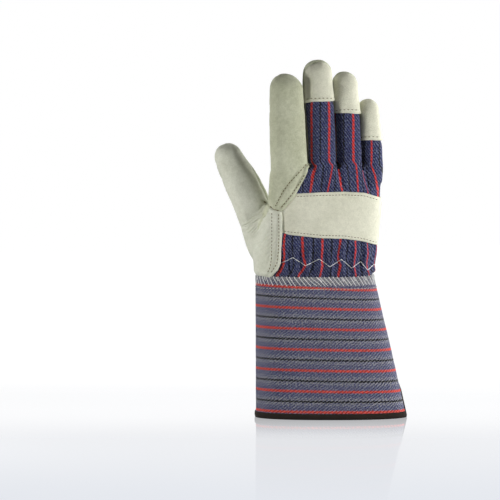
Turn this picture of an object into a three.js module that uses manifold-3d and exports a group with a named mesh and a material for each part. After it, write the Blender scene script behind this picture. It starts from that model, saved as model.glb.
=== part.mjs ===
// Rigger glove for the right hand: a leather palm, index finger, thumb and fingertips, a striped cloth back
// under a leather knuckle strap, and a flared gauntlet cuff with a bound edge and a slit at its side.
// Lengths are millimetres. +Z points up to the fingers, the back of the hand faces -Y, the thumb points
// to -X.
import * as THREE from 'three';
import { mergeVertices } from 'three/addons/utils/BufferGeometryUtils.js';
import Module from 'manifold-3d';

// Cuff
const CUFF_HEIGHT = 130;
const CUFF_RIM_WIDTH = 138;
const CUFF_RIM_DEPTH = 64;
const CUFF_TOP_WIDTH = 108;
const CUFF_TOP_DEPTH = 55;
const CUFF_WALL = 1.6;
const TAPE_THICKNESS = 0.8;
const TAPE_WIDTH = 5.6;
const SLIT_HEIGHT = 75;
const SLIT_INSET = 16;
const SLIT_BULGE = 6;
const SLIT_CORNER_RADIUS = 45;
const SIDE_SEAM_INSET = 9;

// Hand
const HAND_HEIGHT = 101;
const HEM_OVERLAP = 8;
const WRIST_WIDTH = 112;
const WRIST_DEPTH = 57;
const KNUCKLE_WIDTH = 102;
const KNUCKLE_DEPTH = 33;
const KNUCKLE_SHIFT = 10.4;
const LEATHER_WALL = 1.6;
const CLOTH_WALL = 1.3;

// Fingers and thumb
const INDEX_LENGTH = 83;
const INDEX_WIDTH = 34.6;
const INDEX_DEPTH = 29;
const MIDDLE_LENGTH = 95;
const MIDDLE_WIDTH = 31.4;
const MIDDLE_DEPTH = 29;
const RING_LENGTH = 84;
const RING_WIDTH = 28;
const RING_DEPTH = 27;
const LITTLE_LENGTH = 59;
const LITTLE_WIDTH = 23.4;
const LITTLE_DEPTH = 24;
const FINGER_ROOT = 18;
const THUMB_LENGTH = 108;
const THUMB_WIDTH = 35;
const THUMB_DEPTH = 31;
const THUMB_ANGLE = 22.5;
const THUMB_FORWARD = 6;
const THUMB_SET_OUT = 0.6;
const THUMB_ABOVE_CUFF = 23;
const CAP_LENGTH = 37;

// Pieces laid on the glove
const STRAP_HEIGHT = 39.5;
const STRAP_BELOW_FORK = 22.5;
const STRAP_THICKNESS = 1.5;
const STRAP_DROP = 5;
const PATCH_HEIGHT = 36;
const PATCH_WIDTH = 84;
const PATCH_THICKNESS = 1.5;
const PATCH_CORNER_RADIUS = 14;
const WELT_WIDTH = 3;
const WELT_THICKNESS = 2;
const WELT_BELOW_FORK = 5;

// Clear space where sewn pieces meet, and between fingers that press on each other
const GAP = 0.3;
const FINGER_GAP = 1;

// Folds: how far the elastic pulls the cloth in, how high its pleats stand, and the hollow of the palm
const ELASTIC_PULL = 1.6;
const PLEAT_HEIGHT = 1.1;
const PLEAT_COUNT = 6;
const PALM_HOLLOW = 5;

// Sides of the sections and steps of the round corners
const HAND_SIDES = 56;
const CUFF_SIDES = 48;
const FINGER_SIDES = 14;
const THUMB_SIDES = 16;
const ARC_STEPS = 7;

// Powers of the ovals: 2 is an ellipse, and more is squarer.
const ROUNDNESS = 2.4;
const FINGER_ROUNDNESS = 2.15;

// How far a cutting solid runs past the glove, and the longest edge that is cleaned away after a cut
const CUTTER_REACH = 200;
const SEAM_REACH = 60;
const SLIVER = 0.03;

const forkHeight = CUFF_HEIGHT + HAND_HEIGHT;
const cuffLeft = -CUFF_RIM_WIDTH / 2;
const cuffRight = CUFF_RIM_WIDTH / 2;
const wristCentre = cuffLeft + CUFF_TOP_WIDTH / 2;
const knuckleCentre = wristCentre + KNUCKLE_SHIFT;
const knuckleLeft = knuckleCentre - KNUCKLE_WIDTH / 2;

// Sections of the hand. up: share of HAND_HEIGHT above the cuff. blend: from the wrist's size, 0, to the
// knuckles', 1. swell: share of the depth there. slant: share of the turn that takes the little finger's side
// away from the viewer.
const HAND_SECTIONS = [
  { up: 0.045, blend: 0, swell: 1, slant: 0 },
  { up: 0.1, blend: 0, swell: 1, slant: 0 },
  { up: 0.15, blend: 0.02, swell: 0.98, slant: 0.05 },
  { up: 0.2, blend: 0.06, swell: 0.97, slant: 0.1 },
  { up: 0.27, blend: 0.14, swell: 0.98, slant: 0.2 },
  { up: 0.38, blend: 0.32, swell: 1, slant: 0.4 },
  { up: 0.52, blend: 0.58, swell: 1.02, slant: 0.6 },
  { up: 0.68, blend: 0.82, swell: 1.03, slant: 0.8 },
  { up: 0.85, blend: 0.96, swell: 1, slant: 1 },
  { up: 0.96, blend: 1, swell: 0.96, slant: 1 },
  { up: 1, blend: 1, swell: 0.82, slant: 1 },
];
const HAND_SLANT = 0.27;

// The elastic and the hollow of the palm: their height above the cuff and how far they reach up and across,
// as shares of HAND_HEIGHT and of the hand's half width.
const ELASTIC = { up: 0.17, reach: 0.09 };
const HOLLOW = { up: 0.55, reach: 0.25, across: 0.45 };

// One row for each finger, from the index to the little finger. across: the finger's middle, as a share of
// KNUCKLE_WIDTH from the thumb's side. lean and curl: shares of the length that the tip moves towards the
// thumb and towards the palm.
const FINGERS = [
  { name: 'index', across: 0.172, lean: 0.045, curl: 0.1 },
  { name: 'middle', across: 0.45, lean: 0.035, curl: 0.1 },
  { name: 'ring', across: 0.705, lean: 0.055, curl: 0.11 },
  { name: 'little', across: 0.9, lean: 0.05, curl: 0.12 },
];
const FINGER_SIZES = {
  index: { length: INDEX_LENGTH, width: INDEX_WIDTH, depth: INDEX_DEPTH },
  middle: { length: MIDDLE_LENGTH, width: MIDDLE_WIDTH, depth: MIDDLE_DEPTH },
  ring: { length: RING_LENGTH, width: RING_WIDTH, depth: RING_DEPTH },
  little: { length: LITTLE_LENGTH, width: LITTLE_WIDTH, depth: LITTLE_DEPTH },
};

// Sections of a finger and of the thumb. along: share of the length. width and depth: shares of the finger's.
const FINGER_SECTIONS = [
  { along: -1, width: 0.96, depth: 0.92 },
  { along: 0, width: 1, depth: 1 },
  { along: 0.2, width: 1, depth: 1 },
  { along: 0.45, width: 0.96, depth: 0.97 },
  { along: 0.65, width: 0.92, depth: 0.93 },
];
const FINGERTIP_WIDTH = 0.87;
const THUMB_SECTIONS = [
  { along: -0.12, width: 0.5, depth: 0.6 },
  { along: 0, width: 0.84, depth: 0.9 },
  { along: 0.2, width: 0.98, depth: 1 },
  { along: 0.42, width: 1, depth: 1 },
  { along: 0.6, width: 0.97, depth: 0.97 },
  { along: 0.74, width: 0.9, depth: 0.92 },
];
const THUMB_TIP_WIDTH = 0.8;
const TIP_TURNS = [0, 28, 52, 74];

// The seam between the cloth back and the leather round the thumb. across: share of KNUCKLE_WIDTH from the
// knuckles' thumb edge. up: share of HAND_HEIGHT above the cuff.
const INDEX_SEAM = [
  { across: 0.36, up: 1.15 },
  { across: 0.343, up: 1.04 },
  { across: 0.094, up: 0.6 },
  { across: 0.094, up: 0.385 },
  { across: 0.085, up: 0.2 },
  { across: 0.04, up: 0.08 },
  { across: -0.04, up: 0 },
  { across: -0.04, up: -0.2 },
];
const THUMB_CREASE = [
  { across: -0.9, up: 0.9 },
  { across: -0.052, up: 0.662 },
  { across: 0.11, up: 0.57 },
];

// Where the seams run round each section, as shares of its half depth, from the middle to the palm.
const BACK_SEAM = 0.42;
const FINGER_SEAM = 0.05;
const THUMB_SEAM = 0.2;
const THUMB_PALM_SEAM_INSET = 8;

// Where the cut along the thumb's seam ends, as a share of THUMB_LENGTH
const THUMB_CUT_END = 1.2;

const wasm = await Module();
wasm.setup();

function solidFrom(geometry) {
  const plain = geometry.clone();
  plain.deleteAttribute('normal');
  plain.deleteAttribute('uv');
  const merged = mergeVertices(plain);
  return new wasm.Manifold(new wasm.Mesh({
    numProp: 3,
    vertProperties: merged.attributes.position.array,
    triVerts: new Uint32Array(merged.index.array),
  }));
}

function geometryFrom(solid) {
  const mesh = solid.getMesh();
  const geometry = new THREE.BufferGeometry();
  geometry.setAttribute('position', new THREE.BufferAttribute(new Float32Array(mesh.vertProperties), 3));
  geometry.setIndex(new THREE.BufferAttribute(new Uint32Array(mesh.triVerts), 1));
  geometry.computeVertexNormals();
  return geometry;
}

function join(solids) {
  return solids.reduce((whole, solid) => whole.add(solid));
}

// The biggest connected body of a solid, without the crumbs and slivers that a cut can leave.
function mainBody(solid) {
  const biggest = solid.decompose().reduce((best, body) => (body.volume() > best.volume() ? body : best));
  return biggest.simplify(SLIVER);
}

// A closed solid through rings of points that run anticlockwise seen from above, lowest ring first.
function loft(rings) {
  const sides = rings[0].length;
  const points = rings.flat();
  const index = [];
  for (let ring = 0; ring + 1 < rings.length; ring += 1) {
    for (let side = 0; side < sides; side += 1) {
      const a = ring * sides + side;
      const b = ring * sides + (side + 1) % sides;
      index.push(a, b, b + sides, a, b + sides, a + sides);
    }
  }
  const top = (rings.length - 1) * sides;
  for (const [ring, start, reversed] of [[rings[0], 0, true], [rings.at(-1), top, false]]) {
    const middle = points.length;
    points.push(ring.reduce((sum, p) => sum.add(p), new THREE.Vector3()).divideScalar(sides));
    for (let side = 0; side < sides; side += 1) {
      const a = start + side;
      const b = start + (side + 1) % sides;
      index.push(...(reversed ? [middle, b, a] : [middle, a, b]));
    }
  }
  const geometry = new THREE.BufferGeometry().setFromPoints(points);
  geometry.setIndex(index);
  return solidFrom(geometry);
}

// A solid of an outline of [x, z] points, run along Y.
function prism(outline, yLow = -CUTTER_REACH, yHigh = CUTTER_REACH) {
  const shape = new THREE.Shape(outline.map(([x, z]) => new THREE.Vector2(x, z)));
  const geometry = new THREE.ExtrudeGeometry(shape, { depth: yHigh - yLow, bevelEnabled: false });
  geometry.rotateX(Math.PI / 2);
  geometry.translate(0, yHigh, 0);
  return solidFrom(geometry);
}

function slab(zLow, zHigh) {
  return prism([[-CUTTER_REACH, zLow], [CUTTER_REACH, zLow], [CUTTER_REACH, zHigh], [-CUTTER_REACH, zHigh]]);
}

// A quarter of a circle as [x, z] points, anticlockwise from an angle.
function arc(x, z, radius, from) {
  return Array.from({ length: ARC_STEPS + 1 }, (_, step) => {
    const angle = from + (step / ARC_STEPS) * (Math.PI / 2);
    return [x + radius * Math.cos(angle), z + radius * Math.sin(angle)];
  });
}

// Points of an oval as { u, v } across and through the glove.
function oval(halfWidth, halfDepth, sides, roundness = ROUNDNESS) {
  return Array.from({ length: sides }, (_, side) => {
    const angle = (side / sides) * 2 * Math.PI;
    const cos = Math.cos(angle);
    const sin = Math.sin(angle);
    return {
      u: halfWidth * Math.sign(cos) * Math.abs(cos) ** (2 / roundness),
      v: halfDepth * Math.sign(sin) * Math.abs(sin) ** (2 / roundness),
    };
  });
}

// Cuff

function cuffSection(z) {
  const share = z / CUFF_HEIGHT;
  const width = THREE.MathUtils.lerp(CUFF_RIM_WIDTH, CUFF_TOP_WIDTH, share);
  const depth = THREE.MathUtils.lerp(CUFF_RIM_DEPTH, CUFF_TOP_DEPTH, share);
  return { x: cuffLeft + width / 2, halfWidth: width / 2, halfDepth: depth / 2 };
}

function cuffRing(z, grow, sides = CUFF_SIDES) {
  const section = cuffSection(z);
  return oval(section.halfWidth + grow, section.halfDepth + grow, sides)
    .map(({ u, v }) => new THREE.Vector3(section.x + u, v, z));
}

function cuffForm(grow, zLow = 0, zHigh = CUFF_HEIGHT) {
  return loft([cuffRing(zLow, grow), cuffRing(zHigh, grow)]);
}

function cuffRightAt(z) {
  const section = cuffSection(z);
  return section.x + section.halfWidth;
}

const slitTop = { x: cuffRightAt(SLIT_HEIGHT) - SLIT_INSET, z: SLIT_HEIGHT };
const sideSeamTop = { x: cuffRightAt(CUFF_HEIGHT) - SIDE_SEAM_INSET, z: CUFF_HEIGHT };

// The opening of the slit on the palm side, grown by a margin: from its top down the back panel's edge to the
// rim, and up again round the front panel's corner.
function slitCutter(margin) {
  const arcTop = { x: slitTop.x + SLIT_BULGE, z: SLIT_CORNER_RADIUS };
  const radius = SLIT_CORNER_RADIUS - margin;
  const corner = arc(arcTop.x - SLIT_CORNER_RADIUS, SLIT_CORNER_RADIUS, radius, -Math.PI / 2);
  const outline = [
    [slitTop.x - margin, slitTop.z + margin],
    [slitTop.x + margin, slitTop.z + margin],
    [cuffRight + margin, 0],
    [cuffRight + margin, -CUTTER_REACH],
    [corner[0][0], -CUTTER_REACH],
    ...corner,
  ];
  return prism(outline, -margin, CUTTER_REACH);
}

function sideSeamCutter() {
  const below = SLIT_HEIGHT - TAPE_WIDTH;
  return prism([
    [slitTop.x, below],
    [slitTop.x + GAP, below],
    [slitTop.x + GAP, slitTop.z],
    [sideSeamTop.x + GAP, sideSeamTop.z + HEM_OVERLAP],
    [sideSeamTop.x, sideSeamTop.z + HEM_OVERLAP],
    [slitTop.x, slitTop.z],
  ], 0);
}

// A wall that follows the cuff between two distances out from its surface, cut off square at both ends.
function cuffWall(inner, outer, past = 0) {
  const from = -past;
  const to = CUFF_HEIGHT + past;
  return cuffForm(outer, from, to).subtract(cuffForm(inner, from - HEM_OVERLAP, to + HEM_OVERLAP));
}

function makeCuff() {
  const edge = TAPE_THICKNESS + GAP;
  const trimmed = cuffWall(-CUFF_WALL, 0).subtract(slitCutter(edge)).subtract(slab(-HEM_OVERLAP, edge));
  return mainBody(trimmed.subtract(sideSeamCutter()));
}

// The tape folds over the edge of the cuff, so it is a channel with the cuff's edge standing in it.
function makeBinding() {
  const tape = TAPE_THICKNESS + GAP;
  const band = slitCutter(TAPE_WIDTH).add(slab(-HEM_OVERLAP, TAPE_WIDTH));
  const channel = cuffWall(-CUFF_WALL - GAP, GAP, HEM_OVERLAP)
    .subtract(slitCutter(TAPE_THICKNESS))
    .subtract(slab(-2 * HEM_OVERLAP, TAPE_THICKNESS));
  const folded = cuffWall(-CUFF_WALL - tape, tape).intersect(band).subtract(slitCutter(0));
  return mainBody(folded.subtract(channel).subtract(sideSeamCutter()));
}

// The patch lies on the palm side of the cuff with its two lower corners rounded.
function makePatch() {
  const right = sideSeamTop.x - HEM_OVERLAP;
  const left = right - PATCH_WIDTH;
  const top = CUFF_HEIGHT - GAP;
  const bottom = top - PATCH_HEIGHT;
  const radius = PATCH_CORNER_RADIUS;
  const leftCorner = arc(left + radius, bottom + radius, radius, Math.PI);
  const rightCorner = arc(right - radius, bottom + radius, radius, 1.5 * Math.PI);
  const outline = [[left, top], ...leftCorner, ...rightCorner, [right, top]];
  return mainBody(cuffWall(GAP, GAP + PATCH_THICKNESS).intersect(prism(outline, 0)));
}

// Hand

function handSection({ up, blend, swell, slant }) {
  const depth = THREE.MathUtils.lerp(WRIST_DEPTH, KNUCKLE_DEPTH, blend) * swell;
  return {
    x: THREE.MathUtils.lerp(wristCentre, knuckleCentre, blend),
    z: CUFF_HEIGHT + up * HAND_HEIGHT,
    halfWidth: THREE.MathUtils.lerp(WRIST_WIDTH, KNUCKLE_WIDTH, blend) / 2,
    halfDepth: depth / 2,
    slant: slant * HAND_SLANT,
    up,
  };
}

// How far the surface of the hand moves towards the back, for the elastic's pleats and the palm's hollow.
function handFold(u, v, section) {
  const across = u / section.halfWidth;
  if (v < 0) {
    const near = Math.exp(-(((section.up - ELASTIC.up) / ELASTIC.reach) ** 2));
    const pleat = Math.cos(Math.PI * PLEAT_COUNT * across);
    const flat = Math.max(0, 1 - across ** 4);
    return near * flat * (PLEAT_HEIGHT * pleat - ELASTIC_PULL);
  }
  const fromMiddle = (across / HOLLOW.across) ** 2 + ((section.up - HOLLOW.up) / HOLLOW.reach) ** 2;
  return PALM_HOLLOW * Math.exp(-fromMiddle);
}

function handRing(row, grow) {
  const section = handSection(row);
  return oval(section.halfWidth + grow, section.halfDepth + grow, HAND_SIDES).map(({ u, v }) => (
    new THREE.Vector3(section.x + u, v - handFold(u, v, section) + section.slant * u, section.z)));
}

// The hem goes down inside the cuff, and the hand swells over the cuff's edge above it.
function handForm(grow, { hem = 0, top = 0 } = {}) {
  const hemRings = [-HEM_OVERLAP - hem, GAP]
    .map((above) => cuffRing(CUFF_HEIGHT + above, grow - CUFF_WALL - GAP, HAND_SIDES));
  const rings = HAND_SECTIONS.map((row) => handRing(row, grow));
  for (const p of rings.at(-1)) p.z += top;
  return loft([...hemRings, ...rings]);
}

// Everything on the back's side of a seam that runs along a limb. Each row holds the limb's middle, the
// direction across it there, and how far behind the middle the seam lies.
function behindSeam(rows, margin) {
  return loft(rows.map(({ middle, across, seam }) => {
    const point = (side, depth) => {
      const p = middle.clone().addScaledVector(across, side * SEAM_REACH);
      return p.setY(p.y + depth);
    };
    const limit = seam + margin;
    return [point(-1, -SEAM_REACH), point(1, -SEAM_REACH), point(1, limit), point(-1, limit)];
  }));
}

function behindHandSeam(margin) {
  const wrist = new THREE.Vector3(wristCentre, 0, CUFF_HEIGHT - 2 * HEM_OVERLAP);
  const rows = HAND_SECTIONS.map(handSection).map((section) => ({
    middle: new THREE.Vector3(section.x, 0, section.z),
    across: new THREE.Vector3(1, section.slant, 0),
    seam: section.halfDepth * BACK_SEAM,
  }));
  const top = rows.at(-1);
  const above = { ...top, middle: top.middle.clone().setZ(forkHeight + HEM_OVERLAP) };
  return behindSeam([{ ...rows[0], middle: wrist }, ...rows, above], margin);
}

// Fingers

FINGERS.forEach((finger, place) => {
  Object.assign(finger, FINGER_SIZES[finger.name]);
  finger.x = knuckleLeft + finger.across * KNUCKLE_WIDTH;
  finger.y = (finger.x - knuckleCentre) * HAND_SLANT;
  finger.neighbours = [FINGERS[place - 1], FINGERS[place + 1]].filter(Boolean);
});

function tableAt(rows, along, column) {
  const next = rows.findIndex((row) => row.along >= along);
  if (next <= 0) return rows[next === 0 ? 0 : rows.length - 1][column];
  const [a, b] = [rows[next - 1], rows[next]];
  return THREE.MathUtils.lerp(a[column], b[column], (along - a.along) / (b.along - a.along));
}

function tipSize(finger) {
  return (finger.width * FINGERTIP_WIDTH) / 2;
}

// The finger's oval at a height above the fork, or below it where the finger runs into the hand.
function fingerSection(finger, above) {
  const along = above < 0 ? above / FINGER_ROOT : above / finger.length;
  const share = Math.max(0, along);
  const tip = tipSize(finger);
  const intoTip = Math.max(0, (above - (finger.length - tip)) / tip);
  const rounding = Math.sqrt(Math.max(0, 1 - intoTip ** 2));
  const beforeTip = (finger.length - tip) / finger.length;
  const rows = [...FINGER_SECTIONS, { along: beforeTip, width: FINGERTIP_WIDTH, depth: FINGERTIP_WIDTH }];
  return {
    x: finger.x - finger.lean * finger.length * share,
    y: finger.y + finger.curl * finger.length * share ** 2,
    halfWidth: (finger.width / 2) * tableAt(rows, Math.min(along, beforeTip), 'width') * rounding,
    halfDepth: (finger.depth / 2) * tableAt(rows, Math.min(along, beforeTip), 'depth') * rounding,
  };
}

// The reach of an oval in a direction.
function reach(section, direction) {
  return Math.hypot(section.halfWidth * direction.x, section.halfDepth * direction.y);
}

// Neighbouring fingers press flat against each other: a point past the plane between them is put back on it.
function pressed(point, finger, section, above, grow) {
  for (const neighbour of finger.neighbours) {
    const other = fingerSection(neighbour, Math.min(above, neighbour.length - tipSize(neighbour)));
    const direction = new THREE.Vector2(other.x - section.x, other.y - section.y);
    const distance = direction.length();
    direction.normalize();
    const own = reach(section, direction);
    const theirs = reach(other, direction);
    const limit = Math.min(own, ((distance - FINGER_GAP) * own) / (own + theirs)) + grow;
    const along = (point.x - section.x) * direction.x + (point.y - section.y) * direction.y;
    if (along > limit) {
      point.x -= direction.x * (along - limit);
      point.y -= direction.y * (along - limit);
    }
  }
  return point;
}

function fingerRing(finger, above, grow) {
  const section = fingerSection(finger, above);
  const halfWidth = section.halfWidth + grow;
  return oval(halfWidth, section.halfDepth + grow, FINGER_SIDES, FINGER_ROUNDNESS).map(({ u, v }) => {
    const point = new THREE.Vector3(section.x + u, section.y + v, forkHeight + above);
    return pressed(point, finger, section, above, grow);
  });
}

function straightHeights(finger) {
  return FINGER_SECTIONS.map(({ along }) => along * (along < 0 ? FINGER_ROOT : finger.length));
}

function fingerForm(finger, grow) {
  const tip = tipSize(finger);
  const rings = straightHeights(finger).map((above) => fingerRing(finger, above, grow));
  for (const turn of TIP_TURNS) {
    const angle = THREE.MathUtils.degToRad(turn);
    const ring = fingerRing(finger, finger.length - tip + tip * Math.sin(angle), grow);
    for (const p of ring) p.z += grow * Math.sin(angle);
    rings.push(ring);
  }
  return loft(rings);
}

function behindFingerSeam(finger, margin) {
  const heights = [...straightHeights(finger), finger.length - tipSize(finger), finger.length + HEM_OVERLAP];
  return behindSeam(heights.map((above) => {
    const section = fingerSection(finger, Math.min(above, finger.length - tipSize(finger)));
    return {
      middle: new THREE.Vector3(section.x, section.y, forkHeight + above),
      across: new THREE.Vector3(1, 0, 0),
      seam: section.halfDepth * FINGER_SEAM,
    };
  }), margin);
}

// Thumb: a straight finger that leans out from the heel of the hand.

const thumbAngle = THREE.MathUtils.degToRad(THUMB_ANGLE);
const thumbSide = new THREE.Vector3(Math.cos(thumbAngle), 0, Math.sin(thumbAngle));
const thumbAxis = new THREE.Vector3(-Math.sin(thumbAngle), 0, Math.cos(thumbAngle));
const thumbBase = new THREE.Vector3(
  knuckleLeft - THUMB_SET_OUT,
  THUMB_FORWARD,
  CUFF_HEIGHT + THUMB_ABOVE_CUFF,
);

function thumbRows() {
  const tip = (THUMB_WIDTH * THUMB_TIP_WIDTH) / 2;
  const rows = THUMB_SECTIONS.map((row) => ({ ...row, rise: 0 }));
  for (const turn of TIP_TURNS) {
    const angle = THREE.MathUtils.degToRad(turn);
    const size = THUMB_TIP_WIDTH * Math.cos(angle);
    const along = (THUMB_LENGTH - tip + tip * Math.sin(angle)) / THUMB_LENGTH;
    rows.push({ along, width: size, depth: size, rise: Math.sin(angle) });
  }
  return rows;
}

function thumbMiddle(along, rise = 0) {
  const middle = thumbBase.clone().addScaledVector(thumbAxis, along * THUMB_LENGTH + rise);
  return middle.setY(middle.y + THUMB_FORWARD * along);
}

function thumbForm(grow) {
  return loft(thumbRows().map(({ along, width, depth, rise }) => {
    const middle = thumbMiddle(along, rise * grow);
    const halfWidth = (THUMB_WIDTH / 2) * width + grow;
    const halfDepth = (THUMB_DEPTH / 2) * depth + grow;
    return oval(halfWidth, halfDepth, THUMB_SIDES, FINGER_ROUNDNESS).map(({ u, v }) => {
      const point = middle.clone().addScaledVector(thumbSide, u);
      return point.setY(point.y + v);
    });
  }));
}

function behindThumbSeam(margin) {
  const seam = (THUMB_DEPTH / 2) * THUMB_SEAM;
  const row = (along) => ({ middle: thumbMiddle(along), across: thumbSide, seam });
  return behindSeam([row(THUMB_SECTIONS[0].along * 2), row(THUMB_CUT_END)], margin);
}

// Seam lines seen from the back, as [x, z] points

function onBack({ across, up }) {
  return [knuckleLeft + across * KNUCKLE_WIDTH, CUFF_HEIGHT + up * HAND_HEIGHT];
}

// Everything on the little finger's side of the index seam.
function clothSide(margin) {
  const line = INDEX_SEAM.map(onBack).map(([x, z]) => [x - margin, z]);
  const [topX, topZ] = line[0];
  return prism([
    ...line,
    [CUTTER_REACH, line.at(-1)[1]],
    [CUTTER_REACH, topZ + CUTTER_REACH],
    [topX, topZ + CUTTER_REACH],
  ]);
}

// Everything below the crease at the root of the thumb, up to the index seam.
function heelSide(margin) {
  const line = THUMB_CREASE.map(onBack).map(([x, z]) => [x, z + margin]);
  const bottom = CUFF_HEIGHT - 2 * HEM_OVERLAP;
  return prism([...line, [line.at(-1)[0], bottom], [-CUTTER_REACH, bottom], [-CUTTER_REACH, line[0][1]]]);
}

// Where the regions of the glove's skin lie. A positive margin takes more, a negative one less.

const middleAndRing = FINGERS.slice(1, 3);
const cappedFingers = FINGERS.slice(1);
const skinReach = (FINGER_GAP - GAP) / 2;

// Where the middle finger meets the index finger, and the ring finger the little finger, at the fork.
function twoFingerEdges() {
  const [index, middle, ring, little] = FINGERS;
  return [
    (index.x + index.width / 2 + middle.x - middle.width / 2) / 2,
    (ring.x + ring.width / 2 + little.x - little.width / 2) / 2,
  ];
}

function hemHeight(finger) {
  return forkHeight + finger.length - CAP_LENGTH;
}

function backRegion(margin) {
  const hand = handForm(FINGER_GAP, { hem: HEM_OVERLAP }).intersect(behindHandSeam(margin));
  const fingers = cappedFingers.map((finger) => fingerForm(finger, skinReach + margin)
    .intersect(behindFingerSeam(finger, margin))
    .subtract(slab(hemHeight(finger) + margin, CUTTER_REACH * 3)));
  return join([hand, ...fingers]).intersect(clothSide(margin));
}

function capRegion(finger, margin) {
  return fingerForm(finger, skinReach + margin)
    .intersect(behindFingerSeam(finger, margin))
    .intersect(slab(hemHeight(finger) - margin, CUTTER_REACH * 3));
}

function thumbBackRegion(margin) {
  const seamX = cuffLeft + THUMB_PALM_SEAM_INSET + margin;
  const top = thumbBase.z;
  const wrapped = prism([[-CUTTER_REACH, 0], [seamX, 0], [seamX, top], [-CUTTER_REACH, top]]);
  const hand = handForm(FINGER_GAP, { hem: HEM_OVERLAP });
  const backOfHand = hand.intersect(behindHandSeam(margin)).intersect(heelSide(margin));
  const thumb = thumbForm(skinReach + margin).intersect(behindThumbSeam(margin)).subtract(clothSide(0));
  return join([thumb, backOfHand, hand.intersect(wrapped)]);
}

function thumbFrontRegion() {
  return thumbForm(skinReach).subtract(handForm(GAP));
}

// The fronts of the middle and ring fingers are one piece, which reaches down to the welt.
function twoFingerRegion(margin) {
  const left = twoFingerEdges()[0] - margin;
  const right = twoFingerEdges()[1] + margin;
  const low = forkHeight - WELT_BELOW_FORK - margin;
  const top = forkHeight + HEM_OVERLAP;
  const belly = prism([[left, low], [right, low], [right, top], [left, top]], 0);
  const root = handForm(FINGER_GAP).intersect(belly);
  const fingers = join(middleAndRing.map((finger) => fingerForm(finger, skinReach + margin)));
  return fingers.add(root).intersect(slab(low, CUTTER_REACH * 3));
}

const outerForm = join([handForm(0), ...FINGERS.map((finger) => fingerForm(finger, 0)), thumbForm(0)]);

function innerForm(wall) {
  const hand = handForm(-wall, { hem: HEM_OVERLAP, top: -wall });
  return join([hand, ...FINGERS.map((finger) => fingerForm(finger, -wall)), thumbForm(-wall)]);
}

const leatherSkin = outerForm.subtract(innerForm(LEATHER_WALL));
const clothSkin = outerForm.subtract(innerForm(CLOTH_WALL));

// Takes each region's piece out of the leather skin in turn, and gives what is left to the palm.
function cutSkin() {
  const half = GAP / 2;
  const pieces = { hand_back: mainBody(clothSkin.intersect(backRegion(-half))) };
  let rest = leatherSkin.subtract(backRegion(half));
  const take = (name, inside, outside) => {
    pieces[name] = mainBody(rest.intersect(inside));
    rest = rest.subtract(outside);
  };
  for (const finger of cappedFingers) {
    take(`${finger.name}_cap`, capRegion(finger, -half), capRegion(finger, half));
  }
  take('thumb_back', thumbBackRegion(-half), thumbBackRegion(half));
  take('thumb_front', thumbFrontRegion(), thumbForm(skinReach + GAP).subtract(handForm(0)));
  take('two_finger_front', twoFingerRegion(-half), twoFingerRegion(half));
  pieces.palm = mainBody(rest);
  return pieces;
}

// The strap runs over the back and round to the palm's side seam, a little lower on that side.
function makeStrap() {
  const top = forkHeight - STRAP_BELOW_FORK;
  const low = top - STRAP_HEIGHT;
  const right = knuckleLeft + KNUCKLE_WIDTH + STRAP_HEIGHT;
  const band = prism([
    [knuckleLeft, low],
    [right, low - STRAP_DROP],
    [right, top - STRAP_DROP],
    [knuckleLeft, top],
  ]);
  const sheet = handForm(GAP + STRAP_THICKNESS).subtract(handForm(GAP));
  return mainBody(sheet.intersect(behindHandSeam(-GAP)).intersect(band).intersect(clothSide(-GAP)));
}

// The welt is the raised seam under the middle and ring fingers on the palm.
function makeWelt() {
  const top = forkHeight - WELT_BELOW_FORK;
  const [left, right] = twoFingerEdges();
  const band = prism([[left, top - WELT_WIDTH], [right, top - WELT_WIDTH], [right, top], [left, top]], 0);
  const grown = (grow) => join([handForm(grow), ...middleAndRing.map((finger) => fingerForm(finger, grow))]);
  return mainBody(grown(GAP + WELT_THICKNESS).subtract(grown(GAP)).intersect(band));
}

// Finishes, and the glove put together

function leather() {
  return new THREE.MeshStandardMaterial({ name: 'leather', color: 0xc9cab4, roughness: 0.6, metalness: 0 });
}

function cloth(name, color) {
  return new THREE.MeshStandardMaterial({ name, color, roughness: 0.95, metalness: 0 });
}

const pieces = {
  cuff: makeCuff(),
  cuff_binding: makeBinding(),
  wrist_patch: makePatch(),
  knuckle_strap: makeStrap(),
  finger_welt: makeWelt(),
  ...cutSkin(),
};
const clothFinishes = {
  cuff: cloth('cuff_cloth', 0x6a6f8c),
  cuff_binding: cloth('binding_tape', 0x2b2420),
  hand_back: cloth('striped_cloth', 0x454a74),
};

const glove = new THREE.Group();
glove.name = 'rigger_glove';
for (const [name, solid] of Object.entries(pieces)) {
  const mesh = new THREE.Mesh(geometryFrom(solid), clothFinishes[name] ?? leather());
  mesh.name = name;
  glove.add(mesh);
}

// The origin is the middle of the glove's footprint, on the surface that the cuff stands on.
const extent = new THREE.Box3().setFromObject(glove);
const middle = extent.getCenter(new THREE.Vector3());
for (const mesh of glove.children) mesh.position.set(-middle.x, -middle.y, -extent.min.z);

export default glove;
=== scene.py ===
# Looks of a rigger glove for the right hand, standing on its cuff.
# Shapes are worked out in millimetres in the glove's own frame: X across from the middle of the cuff's rim,
# Y from the back of the hand (negative) to the palm, Z up. A finished mesh is then put in the row frame.
# A path is a list of points in the XZ plane, and a table holds one list for each of its columns.
import math

import bmesh
import bpy
import numpy as np
from mathutils import Matrix, Vector, noise
from mathutils.bvhtree import BVHTree


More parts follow.
